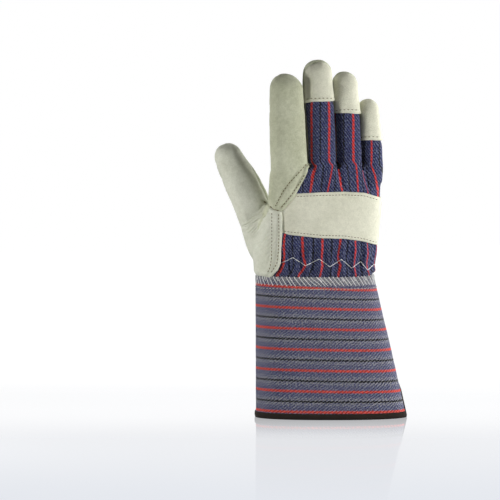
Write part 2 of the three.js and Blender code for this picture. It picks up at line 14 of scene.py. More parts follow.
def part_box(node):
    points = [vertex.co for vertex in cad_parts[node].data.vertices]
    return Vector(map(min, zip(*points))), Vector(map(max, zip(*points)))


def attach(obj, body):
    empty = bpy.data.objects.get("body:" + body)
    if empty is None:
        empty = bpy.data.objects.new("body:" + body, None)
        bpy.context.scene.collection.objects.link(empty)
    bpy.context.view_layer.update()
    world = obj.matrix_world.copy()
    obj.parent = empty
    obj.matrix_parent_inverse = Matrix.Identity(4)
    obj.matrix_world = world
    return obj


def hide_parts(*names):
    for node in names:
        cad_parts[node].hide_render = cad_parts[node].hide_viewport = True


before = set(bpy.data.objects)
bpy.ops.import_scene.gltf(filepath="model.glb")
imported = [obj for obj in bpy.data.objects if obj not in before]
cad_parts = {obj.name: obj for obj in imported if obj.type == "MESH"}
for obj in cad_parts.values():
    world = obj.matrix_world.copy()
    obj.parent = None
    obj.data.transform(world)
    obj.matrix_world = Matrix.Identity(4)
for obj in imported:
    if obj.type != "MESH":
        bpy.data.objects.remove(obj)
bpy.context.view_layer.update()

rim_low, rim_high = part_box("cuff_binding")
MM = 0.001
GLOVE_TO_ROW = (
    Matrix.Translation(((rim_low.x + rim_high.x) / 2, (rim_low.y + rim_high.y) / 2, rim_low.z))
    @ Matrix.Scale(MM, 4)
)

# Cuff
CUFF_HEIGHT = 130
RIM_WIDTH, RIM_DEPTH = 138, 64
TOP_WIDTH, TOP_DEPTH = 108, 55
CUFF_WALL = 1.6
CUFF_LEFT = -RIM_WIDTH / 2
CUFF_SQUARENESS = 2.4
TAPE_WIDTH = 5.6
TAPE_PROUD = 0.9
SLIT_HEIGHT = 75
SLIT_INSET = 16
SLIT_BULGE = 6
SLIT_CORNER = 45

# Hand
HAND_HEIGHT = 101
FORK = CUFF_HEIGHT + HAND_HEIGHT
WRIST_WIDTH, WRIST_DEPTH = 112, 57
KNUCKLE_WIDTH, KNUCKLE_DEPTH = 102, 33
HAND_SLANT = 0.27
HEM = 8
# Below TURN_TOP the skin turns in to the hem inside the cuff, over TURN_HEIGHT and by TURN_IN in all.
TURN_TOP, TURN_HEIGHT, TURN_IN = 134.5, 4, 4
WRIST_X = CUFF_LEFT + TOP_WIDTH / 2
KNUCKLE_X = WRIST_X + 10.4
KNUCKLE_LEFT = KNUCKLE_X - KNUCKLE_WIDTH / 2
BACK_SEAM = 0.42
HAND_SECTIONS = {
    "up": [0.045, 0.1, 0.15, 0.2, 0.27, 0.38, 0.52, 0.68, 0.85, 0.96, 1],
    "blend": [0, 0, 0.02, 0.06, 0.14, 0.32, 0.58, 0.82, 0.96, 1, 1],
    "swell": [1, 1, 0.98, 0.97, 0.98, 1, 1.02, 1.03, 1, 0.96, 0.82],
    "slant": [0, 0, 0.05, 0.1, 0.2, 0.4, 0.6, 0.8, 1, 1, 1],
}

# Fingers: x where they leave the hand, the sizes, and the shares of the length that the tip leans to the
# thumb and curls to the palm. spread moves them apart while their skin is fused to the hand's.
FINGERS = [
    {"across": 0.172, "length": 83, "width": 34.6, "depth": 29, "lean": 0.045, "curl": 0.1, "spread": -4.5},
    {"across": 0.45, "length": 95, "width": 31.4, "depth": 29, "lean": 0.035, "curl": 0.1, "spread": -1.5},
    {"across": 0.705, "length": 84, "width": 28, "depth": 27, "lean": 0.055, "curl": 0.11, "spread": 1.5},
    {"across": 0.9, "length": 59, "width": 23.4, "depth": 24, "lean": 0.05, "curl": 0.12, "spread": 4.5},
]
INDEX, MIDDLE, RING, LITTLE = range(4)
CAPS = {"middle_cap": MIDDLE, "ring_cap": RING, "little_cap": LITTLE}
FINGER_ROOT = 18
ROOT_WIDTH = 0.96
FINGER_GAP = 1
CAP_LENGTH = 37
TIP_WIDTH = 0.87
FINGER_SQUARENESS = 2.15
FINGER_SECTIONS = {
    "along": [0, 0.2, 0.45, 0.65, 0.86, 1],
    "width": [1, 1, 0.96, 0.92, 0.87, 0.87],
    "depth": [1, 1, 0.97, 0.93, 0.87, 0.87],
}

# Thumb
THUMB_LENGTH, THUMB_WIDTH, THUMB_DEPTH = 104.8, 35, 31
THUMB_ANGLE = math.radians(22.5)
THUMB_FORWARD = 6
THUMB_TIP, THUMB_TIP_START = 0.74, 0.87
THUMB_BASE = np.array([KNUCKLE_LEFT - 0.6, THUMB_FORWARD, CUFF_HEIGHT + 23])
THUMB_AXIS = np.array([-math.sin(THUMB_ANGLE), 0, math.cos(THUMB_ANGLE)])
THUMB_SIDE = np.array([math.cos(THUMB_ANGLE), 0, math.sin(THUMB_ANGLE)])
THUMB_SECTIONS = {
    "along": [-0.22, -0.1, 0, 0.1, 0.22, 0.42, 0.56, 0.68, 0.78, 0.87, 1],
    "width": [0.7, 0.96, 1.03, 1.05, 1.01, 0.96, 0.95, 0.9, 0.82, 0.74, 0.74],
    "depth": [0.55, 0.75, 0.9, 0.98, 1, 1, 0.98, 0.93, 0.87, 0.8, 0.8],
}
THUMB_START = THUMB_SECTIONS["along"][0]

# Seam lines on the back
INDEX_SEAM = [
    (-54.4, 129.5), (-48.9, 136.3), (-46.3, 143.7), (-45.5, 155.6), (-44.6, 168.5), (-44.6, 185.1),
    (-45.0, 189.8), (-38.1, 197.1), (-33.2, 203.6), (-29.9, 209.5), (-26.6, 216.0), (-24.1, 220.2),
    (-21.6, 225.7), (-21.2, 233.0),
]
CROSS_SEAM = [(-75, 203.5), (-60.3, 196.6), (-52.1, 191.3), (-40, 188.3)]
HEEL_EDGE = [(-61, 122), (-61.5, 131), (-67, 150), (-74, 175), (-90, 200)]
STRAP_TOP = [(-50, 205.5), (-31.9, 206), (-11, 206.8), (12.5, 206.9), (30, 205.5), (44, 200.5), (50, 197)]
STRAP_LOW = [
    (-50, 169.8), (-43.4, 169.1), (-31.4, 167.9), (-8.4, 165.4), (12, 164.6), (28, 162), (41.5, 157.5),
    (50, 155),
]
ZIGZAG = [
    (-47.6, 141.6), (-44.6, 143.2), (-34.8, 147.8), (-23.7, 140.4), (-10.9, 146.5), (-1.5, 139.5),
    (9.2, 146.1), (18.4, 138.1), (26.7, 143.7), (33.2, 135.5), (38.9, 140), (42, 137),
]

# Where the stripes of the hand's cloth run. They are counted from the thumb's side, whole for red and half
# for black, and each has its x at these heights above the floor.
STRIPE_HEIGHTS = [122, 131, 141, 149, 165, 185, 207, 222, 231]
STRIPES = {
    0: [-50.4, -49.3, -44.6, -43.0, -43.1, -38.4, -32.3, -32.3, -32.3],
    0.5: [-38.1, -38.1, -34.4, -35.6, -35.6, -31.4, -25.9, -25.8, -25.8],
    1: [-29.9, -29.7, -23.7, -25.7, -26.5, -23.1, -19.1, -16.7, -14.0],
    1.5: [-20.4, -20.2, -16.6, -16.5, -16.1, -12.9, -9.4, -7.3, -6.9],
    2: [-10.5, -10.4, -7.6, -8.7, -7.9, -5.7, -3.3, -0.2, 1.6],
    2.5: [-1.0, -1.0, -0.4, 0.1, 0.7, 1.9, 3.1, 4.0, 4.4],
    3: [6.4, 6.4, 8.2, 6.0, 8.6, 9.4, 10.3, 8.3, 6.5],
    3.5: [14.8, 14.8, 14.9, 13.9, 15.3, 16.4, 17.5, 16.0, 14.1],
    4: [23.1, 22.8, 21.4, 21.5, 22.1, 23.5, 24.9, 24.0, 23.2],
    4.5: [29.0, 28.8, 27.4, 27.3, 27.7, 28.8, 30.0, 28.2, 26.7],
    5: [35.0, 34.8, 33.4, 33.2, 33.2, 34.1, 34.3, 30.3, 29.5],
    5.5: [38.7, 38.7, 37.5, 37.3, 37.3, 38.1, 36.5, 33.0, 32.2],
    6: [43.8, 43.8, 42.6, 42.4, 42.4, 43.1, 43.4, 39.7, 36.0],
}
# On a finger one stripe is given by its x, and the others follow at a pitch.
FINGER_STRIPES = {
    MIDDLE: {"stripe": 1, "x": -18.4, "pitch": 16.6},
    RING: {"stripe": 4, "x": 20.3, "pitch": 18.4},
    LITTLE: {"stripe": 6, "x": 36.9, "pitch": 14.75},
}
# Pitch of the hand's stripes outside the table, on the thumb's side and on the little finger's
FIRST_PITCH, LAST_PITCH = 19, 17
CUFF_STRIPE_PITCH = 19.1
CUFF_STRIPE_START = 7.4

# How far pieces lie above the glove's skin, and how thick they are
LEATHER_LIFT, LEATHER_THICKNESS = 0.45, 1.3
CLOTH_LIFT, CLOTH_THICKNESS = -0.55, 1.0
CAP_LIFT, STRAP_LIFT = 0.1, 1.0
PLAIN_LIFT = 0.15
STRAP_THICKNESS, WELT_THICKNESS = 1.4, 1.2
UNDER_LAP = 4
# How far rows of stitches lie in from the edge of their piece
CAP_ROW_INSET, STRAP_ROW_INSET, PATCH_ROW_INSET = 3.2, 2.7, 3.0

# How fine the shapes are made
VOXEL = 0.9
HAND_SIDES, FINGER_SIDES, THUMB_SIDES, TIP_RINGS = 150, 72, 84, 16
FINGER_STEP, THUMB_STEP = 1.2, 1.3
CUFF_SIDES, CUFF_RINGS = ((290, 112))
PROFILE_STEPS, PROFILE_WINDOW = 260, 35
SNAP = 0.12


# Small tools for numbers

def line_at(path, x):
    """The height of a path at x."""
    return np.interp(x, *np.transpose(path))


def x_at(path, z):
    """The x of a path at a height."""
    xs, zs = np.transpose(path)
    return np.interp(z, zs, xs)


def path_lengths(path):
    """The x and z of a path's points, and how far along it each of them is."""
    xs, zs = np.array(path, float).T
    return xs, zs, np.concatenate([[0], np.cumsum(np.hypot(np.diff(xs), np.diff(zs)))])


def smooth_table(table, key):
    """A smooth curve through each of a table's columns, as a function of its key column."""
    fine = np.linspace(table[key][0], table[key][-1], PROFILE_STEPS)
    window = np.hanning(PROFILE_WINDOW)

    def curve(values):
        padded = np.pad(np.interp(fine, table[key], values), PROFILE_WINDOW // 2, "reflect",
                        reflect_type="odd")
        smooth = np.convolve(padded, window / window.sum(), "valid")
        return lambda x: np.interp(x, fine, smooth)

    return {name: curve(values) for name, values in table.items() if name != key}


def mix(a, b, share):
    return a + (b - a) * share


def ease(x, low, high):
    """0 below low and 1 above high, with a smooth step between."""
    share = np.clip((x - low) / (high - low), 0, 1)
    return share * share * (3 - 2 * share)


def bell(x, width):
    return np.exp(-((x / width) ** 2))


def oval(half_width, half_depth, angle, roundness):
    cos, sin = np.cos(angle), np.sin(angle)
    u = half_width * np.sign(cos) * np.abs(cos) ** (2 / roundness)
    v = half_depth * np.sign(sin) * np.abs(sin) ** (2 / roundness)
    return u, v


def lumps(points, size, shift=0.0):
    """Smooth random numbers from -1 to 1, of about that size across."""
    scaled = points / size + shift
    return np.array([noise.noise(Vector(p)) for p in scaled])


def distance_to_path(x, z, path):
    """The distance from points to a path, and how far along it they are, 0 to 1."""
    px, pz = np.array(path, float).T
    nearest = np.full(len(x), 1e9)
    along = np.zeros(len(x))
    lengths = np.hypot(np.diff(px), np.diff(pz))
    total, done = lengths.sum(), 0.0
    for i, length in enumerate(lengths):
        dx, dz = (px[i + 1] - px[i]) / length, (pz[i + 1] - pz[i]) / length
        t = np.clip((x - px[i]) * dx + (z - pz[i]) * dz, 0, length)
        distance = np.hypot(x - px[i] - t * dx, z - pz[i] - t * dz)
        closer = distance < nearest
        nearest = np.where(closer, distance, nearest)
        along = np.where(closer, (done + t) / total, along)
        done += length
    return nearest, along


# Sections of the glove

hand_table = smooth_table(HAND_SECTIONS, "up")
finger_table = smooth_table(FINGER_SECTIONS, "along")
thumb_table = smooth_table(THUMB_SECTIONS, "along")
for finger in FINGERS:
    finger["x"] = KNUCKLE_LEFT + finger["across"] * KNUCKLE_WIDTH
    finger["y"] = (finger["x"] - KNUCKLE_X) * HAND_SLANT
    finger["tip"] = finger["width"] * TIP_WIDTH / 2
    finger["straight"] = finger["length"] - finger["tip"]


def hand_section(z):
    """The middle, half width, half depth and slant of the hand at heights z."""
    up = np.clip((z - CUFF_HEIGHT) / HAND_HEIGHT, HAND_SECTIONS["up"][0], 1)
    blend = hand_table["blend"](up)
    depth = mix(WRIST_DEPTH, KNUCKLE_DEPTH, blend) * hand_table["swell"](up)
    width = mix(WRIST_WIDTH, KNUCKLE_WIDTH, blend)
    x = mix(WRIST_X, KNUCKLE_X, blend)
    turn = np.clip((TURN_TOP - z) / TURN_HEIGHT, 0, 1)
    turned = 1 - np.sqrt(1 - turn ** 2)
    width = mix(width, TOP_WIDTH - TURN_IN, turned)
    depth = mix(depth, TOP_DEPTH - TURN_IN, turned)
    return x, width / 2, depth / 2, hand_table["slant"](up) * HAND_SLANT


def finger_section(finger, above):
    """The middle and half sizes of a finger at heights above the fork."""
    share = np.maximum(0, above / finger["length"])
    straight = np.minimum(share, finger["straight"] / finger["length"])
    into_tip = np.clip((above - finger["straight"]) / finger["tip"], 0, 1)
    rounding = np.sqrt(1 - into_tip ** 2)
    x = finger["x"] - finger["lean"] * finger["length"] * share
    y = finger["y"] + finger["curl"] * finger["length"] * share ** 2
    root = mix(ROOT_WIDTH, 1, ease(above, -FINGER_ROOT, 0))
    half_width = finger["width"] / 2 * finger_table["width"](straight) * rounding * root
    half_depth = finger["depth"] / 2 * finger_table["depth"](straight) * rounding * root
    return x, y, half_width, half_depth


def spread_at(finger, z):
    return finger["spread"] * ease(z, FORK - 9, FORK + 9)


# Skin of the hand, fingers and thumb

def tube(bm, points):
    """Adds a closed tube through rings of points, an array of rings by sides by 3."""
    rings, sides = points.shape[:2]
    made = bmesh.ops.create_grid(bm, x_segments=sides, y_segments=rings - 1, size=1)["verts"]
    for vert in made:
        side = round((vert.co.x + 1) / 2 * sides) % sides
        ring = round((vert.co.y + 1) / 2 * (rings - 1))
        vert.co = points[ring, side]
    bmesh.ops.remove_doubles(bm, verts=made, dist=1e-4)


def ring_angles(sides):
    return np.arange(sides) / sides * 2 * math.pi


def closed(rings):
    """The rings as an array, the first and the last drawn together to a point."""
    rings = np.array(rings)
    for end in (0, -1):
        rings[end] = rings[end].mean(0)
    return rings


def limb_heights(start, straight, tip, step):
    """The heights of a limb's rings, from its root to its round tip."""
    turns = np.linspace(0, math.pi / 2, TIP_RINGS)
    return np.concatenate([[start], np.arange(start, straight - 0.5, step), straight + tip * np.sin(turns)])


def hand_rings():
    angle = ring_angles(HAND_SIDES)
    low, bend = CUFF_HEIGHT - HEM - 4, CUFF_HEIGHT + 7
    heights = np.concatenate([[low], np.arange(low, bend, 0.5), np.arange(bend, FORK + 0.1, 1.0), [FORK]])
    rings = []
    for z in heights:
        x, half_width, half_depth, slant = hand_section(z)
        u, v = oval(half_width, half_depth, angle, CUFF_SQUARENESS)
        up = (z - CUFF_HEIGHT) / HAND_HEIGHT
        hollow = 4.5 * bell(u / half_width, 0.45) * bell(up - 0.55, 0.27) * (v > 0)
        rings.append(np.stack([x + u, v - hollow + slant * u, np.full_like(u, z)], 1))
    return closed(rings)


def press(points, neighbour, above, section):
    """Puts points of a finger that run past the plane it shares with its neighbour back on that plane."""
    x, y, half_width, half_depth = section
    other = finger_section(neighbour, min(above, neighbour["straight"]))
    direction = np.array([other[0] - x, other[1] - y])
    distance = np.hypot(*direction)
    direction = direction / distance
    own = math.hypot(half_width * direction[0], half_depth * direction[1])
    theirs = math.hypot(other[2] * direction[0], other[3] * direction[1])
    if own < 1e-6:
        return
    limit = min(own, (distance - FINGER_GAP) * own / (own + theirs))
    past = (points[:, 0] - x) * direction[0] + (points[:, 1] - y) * direction[1] - limit
    past = np.maximum(past, 0)
    points[:, 0] -= direction[0] * past
    points[:, 1] -= direction[1] * past


def finger_rings(place):
    finger = FINGERS[place]
    angle = ring_angles(FINGER_SIDES)
    rings = []
    for above in limb_heights(-FINGER_ROOT, finger["straight"], finger["tip"], FINGER_STEP):
        section = finger_section(finger, above)
        u, v = oval(section[2], section[3], angle, FINGER_SQUARENESS)
        points = np.stack([section[0] + u, section[1] + v, np.full_like(u, FORK + above)], 1)
        for step in (-1, 1):
            if 0 <= place + step < len(FINGERS):
                press(points, FINGERS[place + step], above, section)
        points[:, 0] += spread_at(finger, FORK + above)
        rings.append(points)
    return closed(rings)


def thumb_shift(along):
    """How far the thumb's middle lies outwards: in at half its length, and out again towards its tip."""
    slimmer = np.maximum(0, 0.98 - thumb_table["width"](along)) * ease(along, 0.4, 0.6)
    return THUMB_WIDTH / 2 * 0.6 * slimmer - 1.2 * bell(along - 0.42, 0.2)


def thumb_rings():
    angle = ring_angles(THUMB_SIDES)
    tip = THUMB_WIDTH * THUMB_TIP / 2
    straight = THUMB_LENGTH - tip
    rings = []
    for above in limb_heights(THUMB_START * THUMB_LENGTH, straight, tip, THUMB_STEP):
        along = above / THUMB_LENGTH
        into_tip = np.clip((above - straight) / tip, 0, 1)
        rounding = math.sqrt(max(0, 1 - into_tip ** 2))
        u, v = oval(THUMB_WIDTH / 2 * thumb_table["width"](along) * rounding,
                    THUMB_DEPTH / 2 * thumb_table["depth"](along) * rounding, angle, FINGER_SQUARENESS)
        middle = THUMB_BASE + THUMB_AXIS * above + np.array([0, THUMB_FORWARD * along, 0])
        middle = middle - THUMB_SIDE * thumb_shift(along)
        rings.append(middle + np.outer(u, THUMB_SIDE) + np.outer(v, [0, 1, 0]))
    return closed(rings)


def coordinates(mesh):
    values = np.empty(len(mesh.vertices) * 3)
    mesh.vertices.foreach_get("co", values)
    return values.reshape(-1, 3)


def set_coordinates(mesh, points):
    mesh.vertices.foreach_set("co", points.ravel())
    mesh.update()


def normals(mesh):
    values = np.empty(len(mesh.vertices) * 3)
    mesh.vertices.foreach_get("normal", values)
    return values.reshape(-1, 3)


def relax(mesh, times, weight=1.0):
    """Moves each vertex towards the middle of its neighbours."""
    ends = np.empty(len(mesh.edges) * 2, int)
    mesh.edges.foreach_get("vertices", ends)
    a, b = ends.reshape(-1, 2).T
    points = coordinates(mesh)
    count = np.bincount(a, minlength=len(points)) + np.bincount(b, minlength=len(points))
    weight = np.broadcast_to(weight, len(points))[:, None] * 0.5
    for _ in range(times):
        total = np.zeros_like(points)
        for axis in range(3):
            total[:, axis] = (np.bincount(a, points[b, axis], len(points))
                              + np.bincount(b, points[a, axis], len(points)))
        points = points + weight * (total / count[:, None] - points)
    set_coordinates(mesh, points)


def add_object(name, data):
    added = bpy.data.objects.new(name, data)
    bpy.context.scene.collection.objects.link(added)
    return added


def shown_mesh(holder):
    """The mesh that an object shows. The object is taken away."""
    evaluated = holder.evaluated_get(bpy.context.evaluated_depsgraph_get())
    mesh = bpy.data.meshes.new_from_object(evaluated)
    bpy.data.objects.remove(holder)
    return mesh


def to_mesh(bm, name):
    mesh = bpy.data.meshes.new(name)
    bm.to_mesh(mesh)
    bm.free()
    return mesh


def fused_skin():
    bm = bmesh.new()
    tube(bm, hand_rings())
    for place in range(len(FINGERS)):
        tube(bm, finger_rings(place))
    tube(bm, thumb_rings())
    bmesh.ops.recalc_face_normals(bm, faces=bm.faces)
    holder = add_object("skin", to_mesh(bm, "skin"))
    remesh = holder.modifiers.new("fuse", "REMESH")
    remesh.mode = "VOXEL"
    remesh.voxel_size = VOXEL
    fused = shown_mesh(holder)
    relax(fused, 10)
    return fused


# Fields on the skin. Each is positive on its own side of a seam, and close to it is the distance to it.

class Skin:
    """Places on the glove's skin, and how they lie to its limbs and seams."""

    def __init__(self, points, out):
        self.points, self.out = points, out
        self.x, self.y, self.z = points.T
        middle, self.hand_width, self.hand_depth, slant = hand_section(self.z)
        self.across = self.x - middle
        self.depth = self.y - slant * self.across
        self.above = self.z - FORK
        self.fingers = [self.to_finger(finger) for finger in FINGERS]
        self.finger_reach = np.array([f["reach"] for f in self.fingers])
        self.finger = self.finger_reach.argmin(0)
        self.hand_reach = np.hypot(self.across / self.hand_width, self.depth / self.hand_depth)
        self.on_thumb()

    def to_finger(self, finger):
        x, y, half_width, half_depth = finger_section(finger, np.minimum(self.above, finger["straight"]))
        aside, behind = self.x - x, self.y - y
        past = np.maximum(0, self.above - finger["straight"]) / finger["tip"]
        reach = np.sqrt((aside / half_width) ** 2 + (behind / half_depth) ** 2 + past ** 2)
        return {"aside": aside, "behind": behind, "width": half_width, "depth": half_depth, "reach": reach}

    def on_thumb(self):
        offset = self.points - THUMB_BASE
        self.thumb_along = offset @ THUMB_AXIS
        share = np.clip(self.thumb_along / THUMB_LENGTH, THUMB_START, THUMB_TIP_START)
        self.thumb_aside = offset @ THUMB_SIDE + thumb_shift(share)
        self.thumb_behind = offset[:, 1] - THUMB_FORWARD * self.thumb_along / THUMB_LENGTH
        half_width = THUMB_WIDTH / 2 * thumb_table["width"](share)
        self.thumb_depth = THUMB_DEPTH / 2 * thumb_table["depth"](share)
        reach = np.hypot(self.thumb_aside / half_width, self.thumb_behind / self.thumb_depth)
        reach = np.where(self.above > -6, np.minimum(reach, 1.0), reach)
        body = np.minimum(self.hand_reach, np.where(self.above > -12, self.finger_reach[INDEX], 9))
        self.thumb = np.clip((body - reach) * 16, -40, 40)
        self.thumb = np.where((self.above > -6) & (self.x > -62), -20, self.thumb)

    def of_finger(self, name):
        return np.choose(self.finger, [f[name] for f in self.fingers])

    def back(self):
        """The cloth back and the caps against the palm's leather."""
        hand = BACK_SEAM * self.hand_depth - self.depth
        aside, half_depth = self.of_finger("aside"), self.of_finger("depth")
        left = np.array([0, -0.34, 0.0, 0.3])[self.finger]
        right = np.array([0, -0.08, -0.02, 0.3])[self.finger]
        seam = mix(left, right, ease(aside, -4, 4)) * half_depth
        return mix(hand, seam - self.of_finger("behind"), ease(self.above, -10, 8))

    def cloth_side(self):
        """The cloth against the leather of the index finger and the heel."""
        z = np.clip(self.z, INDEX_SEAM[0][1], INDEX_SEAM[-1][1])
        edge, ahead = x_at(INDEX_SEAM, z), x_at(INDEX_SEAM, z + 1)
        low = (self.x - edge) / np.hypot(1, ahead - edge)
        high = (self.finger_reach[INDEX] - self.finger_reach[MIDDLE]) * 15
        return mix(low, high, ease(self.above, -3, 2))

    def above_hem(self):
        """The caps against the cloth, on the three fingers that have them."""
        length = np.array([finger["length"] for finger in FINGERS])[self.finger]
        aside = self.of_finger("aside") / self.of_finger("width")
        droop = np.array([0, 2.2, 0.5, 1.2])[self.finger] * ease(-aside, 0.2, 1)
        droop = droop + np.array([0, 0, 1.2, 0.8])[self.finger] * ease(aside, 0, 1)
        return self.above - (length - CAP_LENGTH) + droop

    def thumb_back(self):
        share = mix(-0.45, 0.2, ease(self.thumb_along, 58, 92)) * ease(self.thumb_aside, -6, 6)
        share = share + 0.2 * ease(-self.thumb_aside, -6, 6)
        return share * self.thumb_depth - self.thumb_behind

    def heel(self):
        """The leather of the thumb's back where it runs down over the hand to the cuff."""
        wrapped = x_at(HEEL_EDGE, self.z) - self.x + 3 * np.maximum(0, -self.depth)
        below = (line_at(CROSS_SEAM, self.x) - self.z) * 0.87
        below = np.where(self.depth > 6, 30, below)
        return np.minimum(np.minimum(wrapped, below), -self.cloth_side())

    def two_fingers(self):
        """The front of the middle and ring fingers, down to the welt."""
        reach = self.finger_reach
        outside = np.minimum(reach[INDEX], reach[LITTLE]) - np.minimum(reach[MIDDLE], reach[RING])
        front = np.minimum(self.above + 5, outside * 14)
        return np.minimum(front, -self.back())


def joined(on_first, first, second):
    """A field that is first where on_first is positive and second elsewhere, cut where the two disagree."""
    own = np.where(on_first > 0, first, second)
    other = np.where(on_first > 0, second, first)
    return np.where(own * other < 0, np.sign(own) * np.minimum(np.abs(own), np.abs(on_first)), own)


def cap_field(skin, place):
    on_finger = np.where((skin.finger == place) & (skin.above > 0), 20, -20)
    return np.minimum(np.minimum(skin.above_hem(), skin.back()), on_finger)


def regions(skin):
    """The field of each piece of the skin."""
    back, side, hem, thumb = skin.back(), skin.cloth_side(), skin.above_hem(), skin.thumb
    off_thumb = np.where(thumb > 0, -20, 20)
    found = {"hand_back": np.minimum.reduce([back, side + UNDER_LAP, UNDER_LAP - hem, off_thumb])}
    cloth = np.minimum(np.minimum(back, side), off_thumb)
    for name, place in CAPS.items():
        found[name] = cap_field(skin, place)
    thumb_back = joined(thumb, skin.thumb_back(), skin.heel())
    found["thumb_back"] = thumb_back
    found["thumb_front"] = np.minimum(thumb, -thumb_back)
    found["two_finger_front"] = skin.two_fingers()
    found["palm"] = -np.maximum.reduce([cloth, thumb_back, found["thumb_front"], found["two_finger_front"]])
    inside = skin.z - (CUFF_HEIGHT - HEM)
    return {name: np.minimum(field, inside) for name, field in found.items()}


# Relief of the skin: how far it stands out or sinks in, in millimetres

FAN_CENTRE = (-36, 203)
PALM_FOLDS = [
    {"path": [(30, 218), (22, 201), (15, 186), (8, 169)], "deep": 2.3, "wide": 3.4},
    {"path": [(36, 214), (29, 198), (22, 184)], "deep": -0.9, "wide": 3.0},
    {"path": [(46, 238), (34, 242), (24, 238)], "deep": 1.5, "wide": 2.2},
    {"path": [(25, 213), (15, 218), (4, 217)], "deep": 1.6, "wide": 3.2},
    {"path": [(-50, 208), (-38, 212), (-24, 217)], "deep": 1.5, "wide": 2.4},
    {"path": [(-59, 205), (-48, 192), (-36, 180), (-26, 172)], "deep": 4.2, "wide": 6},
    {"path": [(-50, 214), (-40, 205), (-30, 192)], "deep": 0.9, "wide": 2.0},
    {"path": [(-14, 162), (-30, 154), (-46, 152), (-56, 159)], "deep": -1.8, "wide": 3.6},
    {"path": [(-52, 184), (-57, 168), (-62, 152)], "deep": 2.0, "wide": 2.8},
    {"path": [(6, 198), (-6, 180), (-20, 164), (-30, 158)], "deep": 1.6, "wide": 4.2},
    {"path": [(30, 160), (34, 180), (38, 200)], "deep": 0.8, "wide": 4.0},
]
BACK_FOLDS = [
    {"path": [(6.5, 232), (8.2, 221), (12, 208)], "deep": 2.2, "wide": 2.2},
    {"path": [(29.5, 232), (32, 219), (37, 207)], "deep": 1.9, "wide": 2.0},
    {"path": [(-19, 233), (-15, 226), (-21, 212)], "deep": 1.5, "wide": 2.4},
    {"path": [(17, 226), (18, 212)], "deep": 1.1, "wide": 2.6},
    {"path": [(-6, 236), (-8, 214)], "deep": 1.0, "wide": 2.6},
    {"path": [(-21.5, 314), (-20, 300), (-19.3, 288)], "deep": 1.9, "wide": 2.8},
]
THUMB_FOLDS = [
    {"path": [(-59, 190.5), (-62, 185), (-66, 181), (-74, 176.5), (-84, 173)], "deep": 2.0, "wide": 1.7},
    {"path": [(-60, 185), (-66, 177), (-76, 170)], "deep": -1.2, "wide": 2.8},
    {"path": [(-60, 193), (-66, 185), (-75, 180), (-84, 177)], "deep": 0.8, "wide": 1.2},
    {"path": [(-61, 195.5), (-67, 188.5), (-76, 184)], "deep": 0.55, "wide": 1.2},
    {"path": [(-66, 192), (-72, 188), (-80, 185)], "deep": 0.3, "wide": 1.2},
    {"path": [(-62, 170), (-69, 163), (-78, 159)], "deep": 0.35, "wide": 3},
    {"path": [(-57, 195), (-66, 188), (-79, 182)], "deep": 1.5, "wide": 5},
]


def creases(skin, size, shift):
    """Thin winding creases, in patches."""
    line = bell(lumps(skin.points, size, shift), 0.1)
    return -line * ease(lumps(skin.points, 24, shift + 3.3), -0.1, 0.25)


def folds(skin, rows):
    total = np.zeros(len(skin.x))
    for row in rows:
        distance, along = distance_to_path(skin.x, skin.z, row["path"])
        fade = ease(along, 0, 0.2) * (1 - ease(along, 0.75, 1)) + 0.25
        total -= row["deep"] * bell(distance, row["wide"]) * np.minimum(fade, 1)
    return total


def gathers(skin):
    """The cloth drawn in by the elastic: pleats that run up and down, deepest at the zigzag thread."""
    pleat = np.cos((skin.x + 2.2 * lumps(skin.points, 11, 3.1)) * 2 * math.pi / 10.6)
    fine = np.cos((skin.x + 1.5 * lumps(skin.points, 7, 8.7)) * 2 * math.pi / 5.1)
    near = ease(skin.z, 128, 136) * (1 - ease(skin.z, 150, 170))
    thread = bell(skin.z - line_at(ZIGZAG, skin.x), 2.0)
    drawn = bell(skin.z - 143, 9)
    return near * (1.1 * pleat + 0.45 * fine) - 0.9 * thread - 1.3 * drawn


def fan(skin):
    """Fine wrinkles over the thumb's root, beside the main fold, that meet towards the cross seam."""
    dx, dz = skin.x - FAN_CENTRE[0], skin.z - FAN_CENTRE[1]
    radius = np.hypot(dx, dz)
    angle = np.arctan2(-dz, -dx)
    wave = np.sin(angle * 130 + 3.2 * lumps(skin.points, 9, 5.3))
    patchy = 0.75 + 0.7 * lumps(skin.points, 6, 7.1)
    return (0.75 * wave * patchy * ease(radius, 25, 31) * (1 - ease(radius, 46, 58))
            * bell(angle - 0.66, 0.15))


def heel_wrinkles(skin):
    """Fine slanting wrinkles beside the stitched edge of the heel."""
    slanted = (skin.z - skin.x * 0.9) / 1.345
    wave = np.sin(slanted * 2 * math.pi / 2.7 + 2.6 * lumps(skin.points, 9, 9.9))
    patchy = 0.6 + 0.8 * lumps(skin.points, 6, 2.6)
    return 0.75 * wave * patchy * bell(skin.x + 59, 9) * bell(skin.z - 161, 13)


